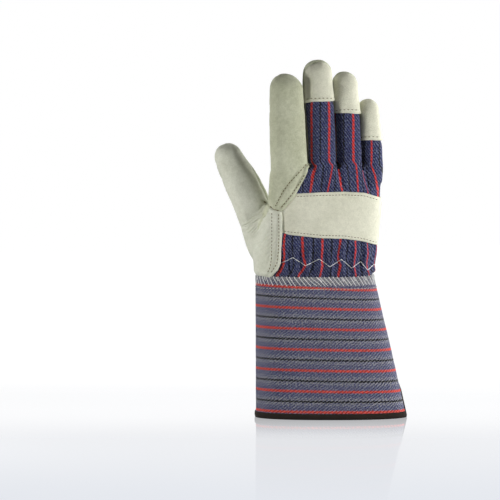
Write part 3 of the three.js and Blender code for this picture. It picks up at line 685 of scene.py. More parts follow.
def relief(skin):
    back, side, thumb = skin.back(), skin.cloth_side(), skin.thumb
    behind = ease(-skin.out[:, 1], -0.2, 0.3)
    front = 1 - behind
    on_thumb = ease(thumb, -2, 2)
    hand = (1 - on_thumb) * (1 - ease(skin.above, -4, 6))
    total = 0.6 * lumps(skin.points, 26, 1.7) + 0.3 * lumps(skin.points, 11, 4.2)
    cloth = ease(side, -1, 1) * behind * (1 - on_thumb)
    total += cloth * np.where(skin.above < 12, gathers(skin), 0)
    total += cloth * folds(skin, BACK_FOLDS)
    total += 0.45 * cloth * lumps(skin.points * np.array([2.2, 1, 0.5]), 12, 6.6)
    total += hand * front * folds(skin, PALM_FOLDS)
    leather = ease(-side, -1, 1) * behind
    total += leather * folds(skin, THUMB_FOLDS)
    total += leather * ease(skin.z, 150, 160) * 0.35 * lumps(skin.points * np.array([1, 1, 0.6]), 7, 8.8)
    smooth = ease(-side, 0, 4) + front * (1 - ease(-side, 0, 4))
    total += 0.32 * smooth * creases(skin, 10, 12.5) + 0.25 * smooth * creases(skin, 17, 21.4)
    # Turned seams sink in.
    seamed = np.where(skin.finger == INDEX, skin.above < 0, True) & (side > -3)
    total -= 1.15 * bell(back, 1.3) * seamed * (1 - on_thumb)
    total -= 1.0 * bell(skin.thumb_back(), 1.2) * ease(thumb, 0, 3) * ease(skin.thumb_along, 30, 45)
    total -= 0.9 * bell(thumb, 1.6) * front * ease(skin.z, 158, 170)
    cross = line_at(CROSS_SEAM, skin.x) - skin.z
    crossing = bell(cross, 1.2) * ease(skin.x, -65, -61) * (1 - ease(side, -0.5, 0.5)) * behind
    total -= 2.0 * crossing
    # The seam over the tip of the index finger.
    tip = skin.fingers[INDEX]
    over = (skin.finger == INDEX) * ease(skin.above, 55, 64)
    over = over * bell(tip["behind"] - 0.12 * tip["depth"], 1.1)
    return total - 0.8 * over * ease(skin.above, 40, 70)


def write_layer(mesh, name, values):
    layer = mesh.attributes.new(name, "FLOAT_VECTOR", "POINT")
    layer.data.foreach_set("vector", np.ascontiguousarray(values, dtype=np.float32).ravel())


def read_layer(mesh, name):
    values = np.empty(len(mesh.vertices) * 3, np.float32)
    mesh.attributes[name].data.foreach_get("vector", values)
    return values.reshape(-1, 3).astype(float)


def dressed_skin():
    """The skin with its relief. Layer base keeps each point as it was, and outward the way out."""
    mesh = fused_skin()
    points = coordinates(mesh)
    reach = []
    for finger in FINGERS:
        above = np.minimum(points[:, 2] - FORK, finger["straight"])
        x, y, half_width, half_depth = finger_section(finger, above)
        reach.append(np.hypot((points[:, 0] - x - spread_at(finger, points[:, 2])) / half_width,
                              (points[:, 1] - y) / half_depth))
    nearest = np.array(reach).argmin(0)
    shift = np.array([spread_at(finger, points[:, 2]) for finger in FINGERS])
    off_thumb = points[:, 0] > KNUCKLE_LEFT - 12
    points[:, 0] -= np.choose(nearest, list(shift)) * off_thumb
    set_coordinates(mesh, points)
    skin = Skin(points, normals(mesh))
    # The thumb's root flows into the heel of the hand without a crease.
    root = bell(skin.thumb, 7) * ease(-skin.depth, -8, 2) * (1 - ease(skin.z, 180, 194))
    relax(mesh, 60, root)
    base = coordinates(mesh)
    skin = Skin(base, normals(mesh))
    set_coordinates(mesh, base + normals(mesh) * relief(skin)[:, None])
    write_layer(mesh, "base", base)
    write_layer(mesh, "outward", normals(mesh))
    return mesh, skin


# Cutting pieces

def trim(mesh, field, refine=None):
    """A bmesh of the part of a mesh where the field is above zero, cut along its zero line."""
    bm = bmesh.new()
    bm.from_mesh(mesh)
    level = bm.verts.layers.float.new("level")
    layers = [bm.verts.layers.float_vector[name] for name in ("base", "outward")]
    for vert, value in zip(bm.verts, field):
        vert[level] = value
    outside = [f for f in bm.faces if all(v[level] < 0 for v in f.verts)]
    bmesh.ops.delete(bm, geom=outside, context="FACES")

    def place_on_line(vert, a, b, share):
        vert.co = a.co.lerp(b.co, share)
        for layer in layers:
            vert[layer] = a[layer].lerp(b[layer], share)
        vert[level] = 0

    crossing = [e for e in bm.edges if (e.verts[0][level] < 0) != (e.verts[1][level] < 0)]
    moves = {}
    for edge in crossing:
        a, b = edge.verts
        share = a[level] / (a[level] - b[level])
        for vert, own in ((a, share), (b, 1 - share)):
            if own < SNAP and own < moves.get(vert, (1,))[0]:
                moves[vert] = (own, edge.other_vert(vert))
    for vert, (share, other) in moves.items():
        if other not in moves:
            place_on_line(vert, vert, other, share)
    for edge in crossing:
        a, b = edge.verts
        if a[level] * b[level] < 0:
            share = a[level] / (a[level] - b[level])
            _, vert = bmesh.utils.edge_split(edge, a, share)
            place_on_line(vert, a, b, share)
    on_line = [v for v in bm.verts if v[level] == 0]
    bmesh.ops.connect_verts(bm, verts=on_line)
    outside = [f for f in bm.faces if min(v[level] for v in f.verts) < -1e-6]
    bmesh.ops.delete(bm, geom=outside, context="FACES")
    if refine is not None:
        refine(bm, layers)
    return bm


def refined(mask, cuts=1):
    """A step for trim that cuts the faces where the mask is true finer."""
    def refine(bm, layers):
        bm.verts.ensure_lookup_table()
        points = np.array([v[layers[0]][:] for v in bm.verts])
        chosen = mask(points)
        for vert, flag in zip(bm.verts, chosen):
            vert.tag = bool(flag)
        edges = [e for e in bm.edges if e.verts[0].tag and e.verts[1].tag]
        bmesh.ops.subdivide_edges(bm, edges=edges, cuts=cuts, use_grid_fill=True, use_single_edge=True)
    return refine


def cut(source, name, field, refine=None):
    """The part of a mesh where the field is above zero, as a mesh of its own."""
    return to_mesh(trim(source, field, refine), name)


def lie_out(mesh, distance):
    """Moves the mesh out from the skin, by one distance or by one for each vertex."""
    set_coordinates(mesh, coordinates(mesh) + read_layer(mesh, "outward") * np.reshape(distance, (-1, 1)))


surfaces = {}


def finish_piece(mesh, name, materials, thickness=0.0):
    """Puts a mesh in the row frame as a piece of the glove. One with a thickness is its CAD node's."""
    nodes = [name] if thickness else []
    surfaces[name] = BVHTree.FromPolygons([v.co.copy() for v in mesh.vertices],
                                          [p.vertices[:] for p in mesh.polygons])
    for extra in ("base", "outward", "level"):
        layer = mesh.attributes.get(extra)
        if layer:
            mesh.attributes.remove(layer)
    mesh.transform(GLOVE_TO_ROW)
    mesh.shade_smooth()
    for material in materials:
        mesh.materials.append(material)
    piece = add_object(name, mesh)
    if thickness:
        wall = piece.modifiers.new("wall", "SOLIDIFY")
        wall.thickness = thickness * MM
        wall.offset = -1
        wall.material_offset = 1
        wall.material_offset_rim = 0
    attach(piece, "root")
    if nodes:
        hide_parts(*nodes)


# Materials

class Value:
    """A number from a node. Python's operators on it add Math nodes."""

    def __init__(self, nodes, socket):
        self.nodes, self.socket = nodes, socket

    def maths(self, operation, *others):
        return self.nodes.add("Math", {"operation": operation}, [self, *others])

    def __add__(self, other):
        return self.maths("ADD", other)

    def __sub__(self, other):
        return self.maths("SUBTRACT", other)

    def __rsub__(self, other):
        return self.nodes.add("Math", {"operation": "SUBTRACT"}, [other, self])

    def __mul__(self, other):
        return self.maths("MULTIPLY", other)

    __radd__ = __add__

    def wave(self, length):
        """A sine of that length, from 0 to 1."""
        return (self * (2 * math.pi / length)).maths("SINE") * 0.5 + 0.5

    def band(self, low, high):
        """0 below low and 1 above high, with a smooth step between."""
        return self.nodes.add("MapRange", {"interpolation_type": "SMOOTHSTEP"},
                              {"Value": self, "From Min": low, "From Max": high})


class Finish:
    """A material and the nodes in it."""

    def __init__(self, name):
        self.material = bpy.data.materials.new(name)
        self.material.use_nodes = True
        self.tree = self.material.node_tree
        self.shader = self.tree.nodes["Principled BSDF"]

    def add(self, kind, settings=(), inputs=(), output=0):
        """A node of a type, with its settings made first and then its sockets filled."""
        node = self.tree.nodes.new("ShaderNode" + kind)
        for name, value in dict(settings).items():
            setattr(node, name, value)
        pairs = inputs.items() if isinstance(inputs, dict) else enumerate(inputs)
        for name, value in pairs:
            self.fill(self.socket(node.inputs, name), value)
        return Value(self, self.socket(node.outputs, output))

    @staticmethod
    def socket(sockets, name):
        if isinstance(name, int):
            return sockets[name]
        return next(s for s in sockets if s.enabled and name in (s.identifier, s.name))

    def fill(self, socket, value):
        if isinstance(value, Value):
            self.tree.links.new(value.socket, socket)
        else:
            socket.default_value = value

    def set(self, **values):
        for name, value in values.items():
            self.fill(self.shader.inputs[name.replace("_", " ")], value)

    def place(self):
        return self.add("TexCoord", output="Object")

    def layer(self, name):
        return self.add("Attribute", {"attribute_type": "GEOMETRY", "attribute_name": name},
                        output="Vector")

    def noise(self, vector, scale, detail=2.0, roughness=0.5):
        return self.add("TexNoise", {"noise_dimensions": "3D"},
                        {"Vector": vector, "Scale": scale, "Detail": detail, "Roughness": roughness})

    def mixed(self, share, first, second):
        return self.add("Mix", {"data_type": "RGBA"},
                        {"Factor_Float": share, "A_Color": first, "B_Color": second}, output="Result_Color")

    def stretched(self, vector, scale):
        return self.add("VectorMath", {"operation": "MULTIPLY"}, [vector, scale])

    def parts(self, vector):
        first = self.add("SeparateXYZ", {}, [vector])
        return [Value(self, socket) for socket in first.socket.node.outputs]

    def filled(self, colour, roughness, height, distance, strength, **other):
        """The material, with its shader filled and a bump from a height."""
        bump = self.add("Bump", {}, {"Height": height, "Distance": distance, "Strength": strength},
                        output="Normal")
        self.set(Base_Color=colour, Roughness=roughness, Normal=bump, **other)
        return self.material


def srgb(red, green, blue):
    """A colour given as 0 to 255 in sRGB, as a linear colour."""
    def linear(value):
        share = value / 255
        return share / 12.92 if share <= 0.04045 else ((share + 0.055) / 1.055) ** 2.4
    return (linear(red), linear(green), linear(blue), 1)


def leather_finish(name, pale, dark, rough=0.56):
    """Smooth grain leather: a fine pebble, soft cloudy colour and a dull sheen."""
    finish = Finish(name)
    place = finish.place()
    clouds = finish.noise(place, 34, 3.0, 0.55)
    mottle = finish.noise(place, 260, 3.0, 0.6)
    pores = finish.add("TexVoronoi", {"feature": "DISTANCE_TO_EDGE"}, {"Vector": place, "Scale": 1100})
    fine = finish.noise(place, 850, 3.0, 0.65)
    tone = clouds.band(0.3, 0.72) * 0.4 + mottle.band(0.35, 0.65) * 0.25 + fine.band(0.3, 0.7) * 0.35
    pebble = pores.band(0, 0.16) * 0.4 + fine * 1.3 + mottle * 1.1
    return finish.filled(finish.mixed(tone, dark, pale), rough + (mottle - 0.5) * 0.16,
                         pebble, 0.00035, 0.75, Specular_IOR_Level=0.35)


def cloth_finish(name, colours, heather, twill, fine, serged=None):
    """Twill with woven stripes. Layer cloth holds the stripe count, and millimetres across and along it.

    The colours are the ground, its light yarn, its flecks, red, dark red and black. Above the height
    serged, in metres, thread covers the cloth and hides its black stripes.
    """
    ground, light, fleck_colour, red, red_dark, black = (srgb(*colour) for colour in colours)
    finish = Finish(name)
    layer = finish.layer("cloth")
    count, across, along = finish.parts(layer)
    wander = finish.noise(finish.stretched(layer, (0, 0.12, 0.12)), 1.0, 2.0) - 0.5
    streak = finish.noise(finish.stretched(layer, (0, 0.9, 0.3)), 1.0, 2.0, 0.6)
    fleck = finish.noise(finish.stretched(layer, (0, 0.85, 0.5)), fine, 2.0, 0.7)
    speck = finish.noise(finish.stretched(layer, (0, 0.85, 0.45)), fine, 1.0, 0.5)
    rib = (across * 0.8 + along * 0.6 + wander * 2.4).wave(2.15)
    weft = (along + wander * 0.4).wave(0.8)
    ragged = (rib - 0.5) * 0.045 + (fleck - 0.5) * 0.06
    from_red = ((count + 0.5).maths("FRACT") - 0.5).maths("ABSOLUTE")
    from_black = (count.maths("FRACT") - 0.5).maths("ABSOLUTE")
    on_red = 1 - (from_red + ragged * 0.7).band(0.05, 0.07)
    on_black = 1 - (from_black + ragged * 0.6).band(0.036, 0.06)
    pale = ((rib - 0.5) * twill + (fleck - 0.5) * 1.9 + 0.52).band(0.1, 0.95)
    body = finish.mixed(pale, ground, light)
    near_black = (1 - from_black.band(0.1, 0.3)) * heather
    covered = 0
    if serged:
        covered = finish.parts(finish.place())[2].band(serged, serged + 0.001)
        on_black = on_black * (1 - covered)
    bright = speck + rib * 0.1 + near_black * 0.12 + (streak - 0.5) * 0.2 + covered * 0.1
    body = finish.mixed(bright.band(0.6, 0.76) * 0.65, body, fleck_colour)
    stripe = finish.mixed((rib * 0.7 + fleck * 0.6).band(0.25, 0.95), red_dark, red)
    broken = 1 - (speck * 0.8 + rib * 0.3).band(0.58, 0.8) * 0.6
    colour = finish.mixed(on_black * broken, body, black)
    height = rib * 0.7 + weft * 0.3 + fleck * 0.9 + on_red * 0.25
    return finish.filled(finish.mixed(on_red, colour, stripe), 0.86 + (fleck - 0.5) * 0.15,
                         height, 0.0005, 1.0, Specular_IOR_Level=0.2, Sheen_Weight=0.1, Sheen_Roughness=0.6)


def tape_finish():
    finish = Finish("binding_tape")
    place = finish.place()
    x, y, z = finish.parts(place)
    fuzz = finish.noise(place, 900, 3.0, 0.7)
    worn = finish.noise(place, 60, 2.0, 0.5)
    rib = (x + y * 0.7 + z * 0.8).wave(0.0016)
    colour = finish.mixed(rib * 0.4 + fuzz * 0.6, srgb(16, 13, 11), srgb(42, 35, 30))
    colour = finish.mixed(worn.band(0.35, 0.8) * 0.35, colour, srgb(50, 42, 36))
    return finish.filled(colour, 0.8 + (fuzz - 0.5) * 0.2, rib * 0.5 + fuzz, 0.0002, 0.7,
                         Specular_IOR_Level=0.25)


def plain_cloth_finish(name, dark, light):
    """The inside of a piece: brushed cloth or the rough side of leather."""
    finish = Finish(name)
    place = finish.place()
    nap = finish.noise(place, 700, 4.0, 0.7)
    patchy = finish.noise(place, 45, 2.0, 0.5)
    colour = finish.mixed(nap.band(0.25, 0.75) * 0.7 + patchy * 0.3, dark, light)
    return finish.filled(colour, 0.92 + (nap - 0.5) * 0.1, nap, 0.00025, 0.8, Specular_IOR_Level=0.15)


def thread_finish(name, dark, light):
    finish = Finish(name)
    place = finish.place()
    x, y, z = finish.parts(place)
    twist = (x * 0.8 + z + y * 0.5).wave(0.0007)
    fuzz = finish.noise(place, 1800, 2.0, 0.6)
    return finish.filled(finish.mixed(twist * 0.5 + fuzz * 0.5, dark, light), 0.7 + (fuzz - 0.5) * 0.2,
                         twist, 0.0001, 0.6)


LEATHER = leather_finish("leather", srgb(207, 209, 185), srgb(170, 173, 144))
# The thumb's back has its own copy of the leather, painted lighter than LEATHER: painted light, for the
# light that falls on the thumb and less on the index beside it.
LIT_THUMB_LEATHER = leather_finish("thumb_leather_painted_light", srgb(226, 227, 212), srgb(193, 195, 175))
LEATHER_PALE = leather_finish("leather_pale", srgb(226, 225, 206), srgb(197, 197, 176), rough=0.6)
LEATHER_INSIDE = plain_cloth_finish("leather_inside", srgb(150, 147, 128), srgb(182, 179, 160))
HAND_CLOTH = cloth_finish("striped_cloth", [(13, 16, 40), (67, 73, 114), (126, 131, 152), (214, 70, 64),
                                            (146, 32, 34), (8, 8, 12)], heather=0.3, twill=0.5, fine=1.2)
CUFF_CLOTH = cloth_finish("cuff_cloth", [(38, 40, 70), (106, 109, 138), (170, 169, 165), (218, 86, 76),
                                         (158, 50, 46), (10, 11, 10)], heather=1.0, twill=0.4, fine=1.4,
                          serged=0.1212)
# The inside faces of the hand's cloth and of the cuff are near black.
NEAR_BLACK_INSIDE = plain_cloth_finish("near_black_inside", srgb(10, 9, 9), srgb(24, 21, 20))
TAPE = tape_finish()
OLIVE_THREAD = thread_finish("olive_thread", srgb(66, 56, 26), srgb(114, 101, 58))
PALE_THREAD = thread_finish("pale_thread", srgb(170, 170, 150), srgb(214, 212, 194))
WHITE_THREAD = thread_finish("white_thread", srgb(226, 227, 226), srgb(248, 248, 245))


# Skin pieces

skin_mesh, skin = dressed_skin()
fields = regions(skin)


def skin_of(mesh):
    """How the points of a piece that was cut from the skin lie on it."""
    return Skin(read_layer(mesh, "base"), read_layer(mesh, "outward"))


def cloth_layer(mesh, count, across, along):
    write_layer(mesh, "cloth", np.stack([count, across, along], 1))


def hand_stripes(skin):
    """The stripe count on the hand's cloth, from the tables."""
    wrap = 0.9 * np.maximum(0, skin.depth + 0.3 * skin.hand_depth) * (skin.across > 0)
    x = skin.x + wrap * ease(skin.across / skin.hand_width, 0.7, 1)
    counts = list(STRIPES)
    columns = [np.interp(skin.z, STRIPE_HEIGHTS, xs) for xs in STRIPES.values()]
    hand = counts[0] + (x - columns[0]) / FIRST_PITCH
    for i in range(len(counts) - 1):
        share = (x - columns[i]) / (columns[i + 1] - columns[i])
        hand = np.where(x >= columns[i], counts[i] + share * 0.5, hand)
    hand = np.where(x > columns[-1], counts[-1] + (x - columns[-1]) / LAST_PITCH, hand)
    on_finger = hand.copy()
    for place, row in FINGER_STRIPES.items():
        finger = skin.fingers[place]
        aside, behind = finger["aside"], finger["behind"]
        round_side = 0.8 * np.maximum(0, behind + 0.5 * finger["depth"]) * np.sign(aside)
        round_side = round_side * ease(np.abs(aside) / finger["width"], 0.6, 1)
        count = row["stripe"] + (skin.x + round_side - row["x"]) / row["pitch"]
        on_finger = np.where(skin.finger == place, count, on_finger)
    return mix(hand, on_finger, ease(skin.above, -1, 4))


def skin_piece(name, materials, lift, thickness, refine=None):
    """A piece cut from the skin. lift says how far out its points lie."""
    mesh = cut(skin_mesh, name, fields[name], refine)
    own = skin_of(mesh)
    if name == "hand_back":
        cloth_layer(mesh, hand_stripes(own), own.x, own.z)
    lie_out(mesh, lift(own))
    finish_piece(mesh, name, materials, thickness)


def leather_lift(own):
    """Leather that laps over the cloth stands above it, with a rounded edge and sunk rows of stitches."""
    side = own.cloth_side()
    edge = np.abs(side)
    behind = ease(-own.out[:, 1], -0.35, 0.1)
    on_hand = ease(own.above, 5, -3) * behind
    lapped = bell(side, 11) * on_hand
    rounded = -0.85 * bell(edge, 0.7) * on_hand
    rows = bell(edge - 3.7, 0.9) + bell(edge - 10.3, 0.9)
    puffed = 0.3 * bell(edge - 7, 2) + 0.12 * bell(edge - 1.8, 0.9)
    stitched = (puffed - 0.45 * rows) * ease(own.above, 2, -6) * ease(-own.out[:, 1], 0, 0.3)
    return PLAIN_LIFT + (LEATHER_LIFT + 0.6) * lapped + rounded + stitched * (own.z > CUFF_HEIGHT + 1)


def cap_lift(own):
    hem = own.above_hem()
    return 0.85 * bell(hem, 9) + CAP_LIFT - 0.6 * bell(hem, 0.7) - 0.35 * bell(hem - 3, 0.8)


def strap_edges(own):
    """The distance in from the strap's long edges."""
    return np.minimum(line_at(STRAP_TOP, own.x) - own.z, own.z - line_at(STRAP_LOW, own.x))


def cloth_lift(own):
    """The cloth lies low, and lower still under leather."""
    under_strap = strap_edges(own)
    covered = ease(under_strap, -1.5, 3)
    lap = bell(np.minimum(own.cloth_side(), 6), 3.5) + bell(np.minimum(-own.above_hem(), 6), 3.5)
    puff = 0.9 * bell(under_strap + 9, 6) * (own.z < 160) * ease(own.z, 133, 140)
    return CLOTH_LIFT - 0.5 * np.minimum(lap, 1) - 0.7 * covered + puff


leather_set = [LEATHER, LEATHER_INSIDE]
skin_piece("palm", leather_set, leather_lift, LEATHER_THICKNESS)
skin_piece("hand_back", [HAND_CLOTH, NEAR_BLACK_INSIDE], cloth_lift, CLOTH_THICKNESS)
for cap in CAPS:
    skin_piece(cap, [LEATHER_PALE, LEATHER_INSIDE], cap_lift, LEATHER_THICKNESS)


# The box round the wrinkles of the thumb's back, which need finer faces
WRINKLED_LOW, WRINKLED_HIGH = (-88, -99, 146), (-46, 8, 204)


def wrinkled(points):
    return ((points > WRINKLED_LOW) & (points < WRINKLED_HIGH)).all(1)


def thumb_lift(own):
    wrinkles = (fan(own) + heel_wrinkles(own)) * ease(-own.cloth_side(), 1, 4)
    return leather_lift(own) + wrinkles * ease(-own.out[:, 1], -0.1, 0.4)


# The thumb's back takes the lighter copy of the leather: painted light on the thumb.
skin_piece("thumb_back", [LIT_THUMB_LEATHER, LEATHER_INSIDE], thumb_lift, LEATHER_THICKNESS,
           refined(wrinkled))
for front in ("thumb_front", "two_finger_front"):
    skin_piece(front, leather_set, lambda own: PLAIN_LIFT, LEATHER_THICKNESS)


# Strap over the back of the hand

def make_strap():
    field = np.minimum.reduce([strap_edges(skin), skin.cloth_side() + 3, skin.back() + 0.4])
    field = np.where(skin.above > -8, -20, field)
    mesh = cut(skin_mesh, "knuckle_strap", field)
    own = skin_of(mesh)
    # The strap is stiffer than the cloth, so it lies over the folds.
    height = np.sum((coordinates(mesh) - own.points) * own.out, 1)
    lift = STRAP_LIFT - 0.85 * height - 2.0 * (1 - ease(own.cloth_side(), 0.5, 13))
    edge = np.minimum(strap_edges(own), 9)
    stitched = -0.22 * bell(edge - STRAP_ROW_INSET, 0.8)
    lift = lift - 0.45 * bell(edge, 0.8) + stitched + 0.25 * bell(edge - 14, 9)
    lift = lift + 0.35 * lumps(own.points, 22, 2.9)
    lie_out(mesh, lift)
    finish_piece(mesh, "knuckle_strap", [LEATHER_PALE, LEATHER_INSIDE], STRAP_THICKNESS)


make_strap()


# Welt under the middle and ring fingers, on the palm

WELT_PATH = [
    (-22.5, 235), (-22.9, 229), (-21.6, 225.8), (-18, 224.6), (22, 224.6), (25.8, 225.8), (27.1, 229),
    (26.8, 235),
]
WELT_HALF_WIDTH, WELT_HEIGHT = 2.0, 1.7


def everywhere(points):
    return np.ones(len(points), bool)


def make_welt():
    distance, _ = distance_to_path(skin.x, skin.z, WELT_PATH)
    field = np.minimum(WELT_HALF_WIDTH - distance, skin.depth - 0.35 * skin.hand_depth)
    mesh = cut(skin_mesh, "finger_welt", field, refined(everywhere, 2))
    own = skin_of(mesh)
    distance, _ = distance_to_path(own.x, own.z, WELT_PATH)
    dome = np.sqrt(np.clip(1 - (distance / (WELT_HALF_WIDTH + 0.05)) ** 2, 0, 1))
    lie_out(mesh, 0.1 + WELT_HEIGHT * dome + 0.25 * lumps(own.points, 5, 2.2))
    finish_piece(mesh, "finger_welt", leather_set, WELT_THICKNESS)


make_welt()


# Cuff

def cuff_section(z):
    share = z / CUFF_HEIGHT
    width, depth = mix(RIM_WIDTH, TOP_WIDTH, share), mix(RIM_DEPTH, TOP_DEPTH, share)
    return CUFF_LEFT + width / 2, width / 2, depth / 2


def cuff_grid(columns, heights):
    """The cuff's outer face as an open-ended tube, with its points and the ways out in layers."""
    bm = bmesh.new()
    made = bmesh.ops.create_grid(bm, x_segments=columns, y_segments=len(heights) - 1, size=1)["verts"]
    for vert in made:
        side = round((vert.co.x + 1) / 2 * columns) % columns
        z = heights[round((vert.co.y + 1) / 2 * (len(heights) - 1))]
        x, half_width, half_depth = cuff_section(z)
        angle = side / columns * 2 * math.pi
        u, v = oval(half_width, half_depth, angle, CUFF_SQUARENESS)
        vert.co = (x + u, v, z)
    bmesh.ops.remove_doubles(bm, verts=bm.verts, dist=1e-4)
    bmesh.ops.recalc_face_normals(bm, faces=bm.faces)
    mesh = to_mesh(bm, "cuff_face")
    if sum(n[0] * p[0] for n, p in zip(normals(mesh), coordinates(mesh))) < 0:
        mesh.flip_normals()
    write_layer(mesh, "base", coordinates(mesh))
    write_layer(mesh, "outward", normals(mesh))
    return mesh


SLIT_X = CUFF_LEFT + 2 * cuff_section(SLIT_HEIGHT)[1] - SLIT_INSET
CORNER_X = SLIT_X + SLIT_BULGE - SLIT_CORNER
SEAM_TOP_X = CUFF_LEFT + TOP_WIDTH - 9
# The slit's edges lie in front of this; behind it the cuff is whole.
SLIT_REACH = -14


def from_edge(points):
    """The distance from the cuff's rim and from the edges of its slit, on the palm side and beyond it."""
    x, y, z = points.T
    arc = SLIT_CORNER - np.hypot(np.maximum(x - CORNER_X, 0), np.minimum(z - SLIT_CORNER, 0))
    lean = SLIT_BULGE / (SLIT_HEIGHT - SLIT_CORNER)
    upper = (SLIT_X + (SLIT_HEIGHT - z) * lean - x) / math.hypot(1, lean)
    front = np.where(z < SLIT_CORNER, arc, upper)
    slope = (RIM_WIDTH / 2 - SLIT_X) / SLIT_HEIGHT
    behind = (x - SLIT_X - (SLIT_HEIGHT - z) * slope) / math.hypot(1, slope) + np.maximum(0, -y)
    over = z - SLIT_HEIGHT
    panel = np.maximum(np.maximum(front, behind), over)
    panel = np.where(y < SLIT_REACH, 99, panel)
    return np.minimum(z, panel)


def cuff_waves(points):
    x, y, z = points.T
    seam_x = SLIT_X + (z - SLIT_HEIGHT) / (CUFF_HEIGHT - SLIT_HEIGHT) * (SEAM_TOP_X - SLIT_X)
    seam = np.where((y > 0) & (z > SLIT_HEIGHT - 1), 1.2 * bell(x - seam_x, 1.2), 0)
    broad = 0.6 * lumps(points * np.array([1, 1, 0.45]), 30, 7.7) + 0.2 * lumps(points, 12, 3.3)
    gathered = 0.3 * np.cos(x * 2 * math.pi / 9) * ease(z, 114, 124)
    return (broad + gathered) * ease(z, 0, 12) - seam


def cuff_drop(x, y, z):
    """How far the cuff's stripes sink towards the slit's side."""
    right = CUFF_LEFT + 2 * cuff_section(z)[1]
    share = np.clip((x - CUFF_LEFT) / (right - CUFF_LEFT), 0, 1)
    back_drop = np.interp(z, [10, 30, 70, 90, 107, 125], [0.9, 2.2, 2.3, 3.5, 3.9, 6.1])
    return np.where(y > 0, 8.5 * share ** 1.4, back_drop * share ** 1.5)


cuff_mesh = cuff_grid(CUFF_SIDES, np.linspace(0, CUFF_HEIGHT, CUFF_RINGS))
cuff_points = coordinates(cuff_mesh)


def round_lengths(angles, half_width, half_depth, roundness=2):
    """How far round an oval each of the angles is."""
    u, v = oval(half_width, half_depth, angles, roundness)
    return np.concatenate([[0], np.cumsum(np.hypot(np.diff(u), np.diff(v)))])


def make_cuff():
    mesh = cut(cuff_mesh, "cuff", from_edge(cuff_points) - 1.2)
    points = read_layer(mesh, "base")
    x, y, z = points.T
    angle = np.arctan2(y / RIM_DEPTH, (x - cuff_section(z)[0]) / RIM_WIDTH)
    turns = np.linspace(-math.pi, math.pi, 721)
    length = round_lengths(turns, RIM_WIDTH / 2, RIM_DEPTH / 2)
    height = z + cuff_drop(x, y, z)
    count = (height - CUFF_STRIPE_START) / CUFF_STRIPE_PITCH
    cloth_layer(mesh, count, height, -np.interp(angle, turns, length))
    lie_out(mesh, cuff_waves(points) - 0.5 * bell(CUFF_HEIGHT - z, 0.9))
    finish_piece(mesh, "cuff", [CUFF_CLOTH, NEAR_BLACK_INSIDE], CUFF_WALL)


def make_binding():
    edge = from_edge(cuff_points)
    mesh = cut(cuff_mesh, "cuff_binding", np.minimum(edge, TAPE_WIDTH - edge))
    points = read_layer(mesh, "base")
    edge = from_edge(points)
    rounded = -0.7 * bell(edge, 1.0) - 0.5 * bell(TAPE_WIDTH - edge, 0.6)
    lie_out(mesh, TAPE_PROUD + rounded + cuff_waves(points) * 0.8)
    finish_piece(mesh, "cuff_binding", [TAPE], CUFF_WALL + 2 * TAPE_PROUD)


make_cuff()
make_binding()


# Patch on the palm side of the cuff

PATCH_WIDTH, PATCH_LIFT = 84, 1.6
PATCH_RIGHT = SEAM_TOP_X - HEM
PATCH_LEFT = PATCH_RIGHT - PATCH_WIDTH
PATCH_TOP = CUFF_HEIGHT - 0.2
PATCH_OUTLINE = [
    (PATCH_LEFT + 1.5, PATCH_TOP), (PATCH_LEFT, 116), (PATCH_LEFT + 1.5, 108), (PATCH_LEFT + 5, 103),
    (PATCH_LEFT + 12, 101), (PATCH_RIGHT - 36, 95), (PATCH_RIGHT - 20, 94), (PATCH_RIGHT - 9, 96.5),
    (PATCH_RIGHT - 3, 102), (PATCH_RIGHT, 112), (PATCH_RIGHT, PATCH_TOP),
]


def inside_outline(x, z, outline):
    """The distance to a closed outline, positive inside."""
    distance, _ = distance_to_path(x, z, outline + outline[:1])
    px, pz = np.array(outline, float).T
    inside = np.zeros(len(x), bool)
    for i in range(len(px)):
        j = i - 1
        straddles = (pz[i] > z) != (pz[j] > z)
        rise = pz[j] - pz[i] if pz[j] != pz[i] else 1e-9
        inside ^= straddles & (x < (px[j] - px[i]) * (z - pz[i]) / rise + px[i])
    return np.where(inside, distance, -distance)


def make_patch():
    x, y, z = cuff_points.T
    field = np.where(y > 0, inside_outline(x, z, PATCH_OUTLINE), -9)
    mesh = cut(cuff_mesh, "wrist_patch", field)
    points = read_layer(mesh, "base")
    edge = inside_outline(points[:, 0], points[:, 2], PATCH_OUTLINE)
    top = ease(points[:, 2], PATCH_TOP - 2, PATCH_TOP)
    rounded = -0.5 * bell(edge, 0.8) * (1 - top) - 0.25 * bell(edge - PATCH_ROW_INSET, 0.8)
    lie_out(mesh, PATCH_LIFT + rounded + cuff_waves(points) * 0.8 + 0.2 * lumps(points, 9, 1.1))
    finish_piece(mesh, "wrist_patch", leather_set, LEATHER_THICKNESS)


make_patch()


# Threads

FROM_BACK, FROM_PALM = 1, -1
FAR = 200


def on_surface(names, x, z, facing, lift=0.0):
    """The first point of the named pieces that a line along Y meets at x and z, and the way out there."""
    best = None
    for name in names:
        point, normal, _, _ = surfaces[name].ray_cast(Vector((x, -FAR * facing, z)), Vector((0, facing, 0)))
        if point is not None and (best is None or point.y * facing < best[0].y * facing):
            best = (point, normal)
    if best is None:
        return None
    point, normal = best
    if normal.y * facing > 0:
        normal = -normal
    return point + normal * lift, normal


def points_along(path, places):
    """The x and z at places along a path."""
    xs, zs, reached = path_lengths(path)
    return [(float(np.interp(at, reached, xs)), float(np.interp(at, reached, zs))) for at in places]


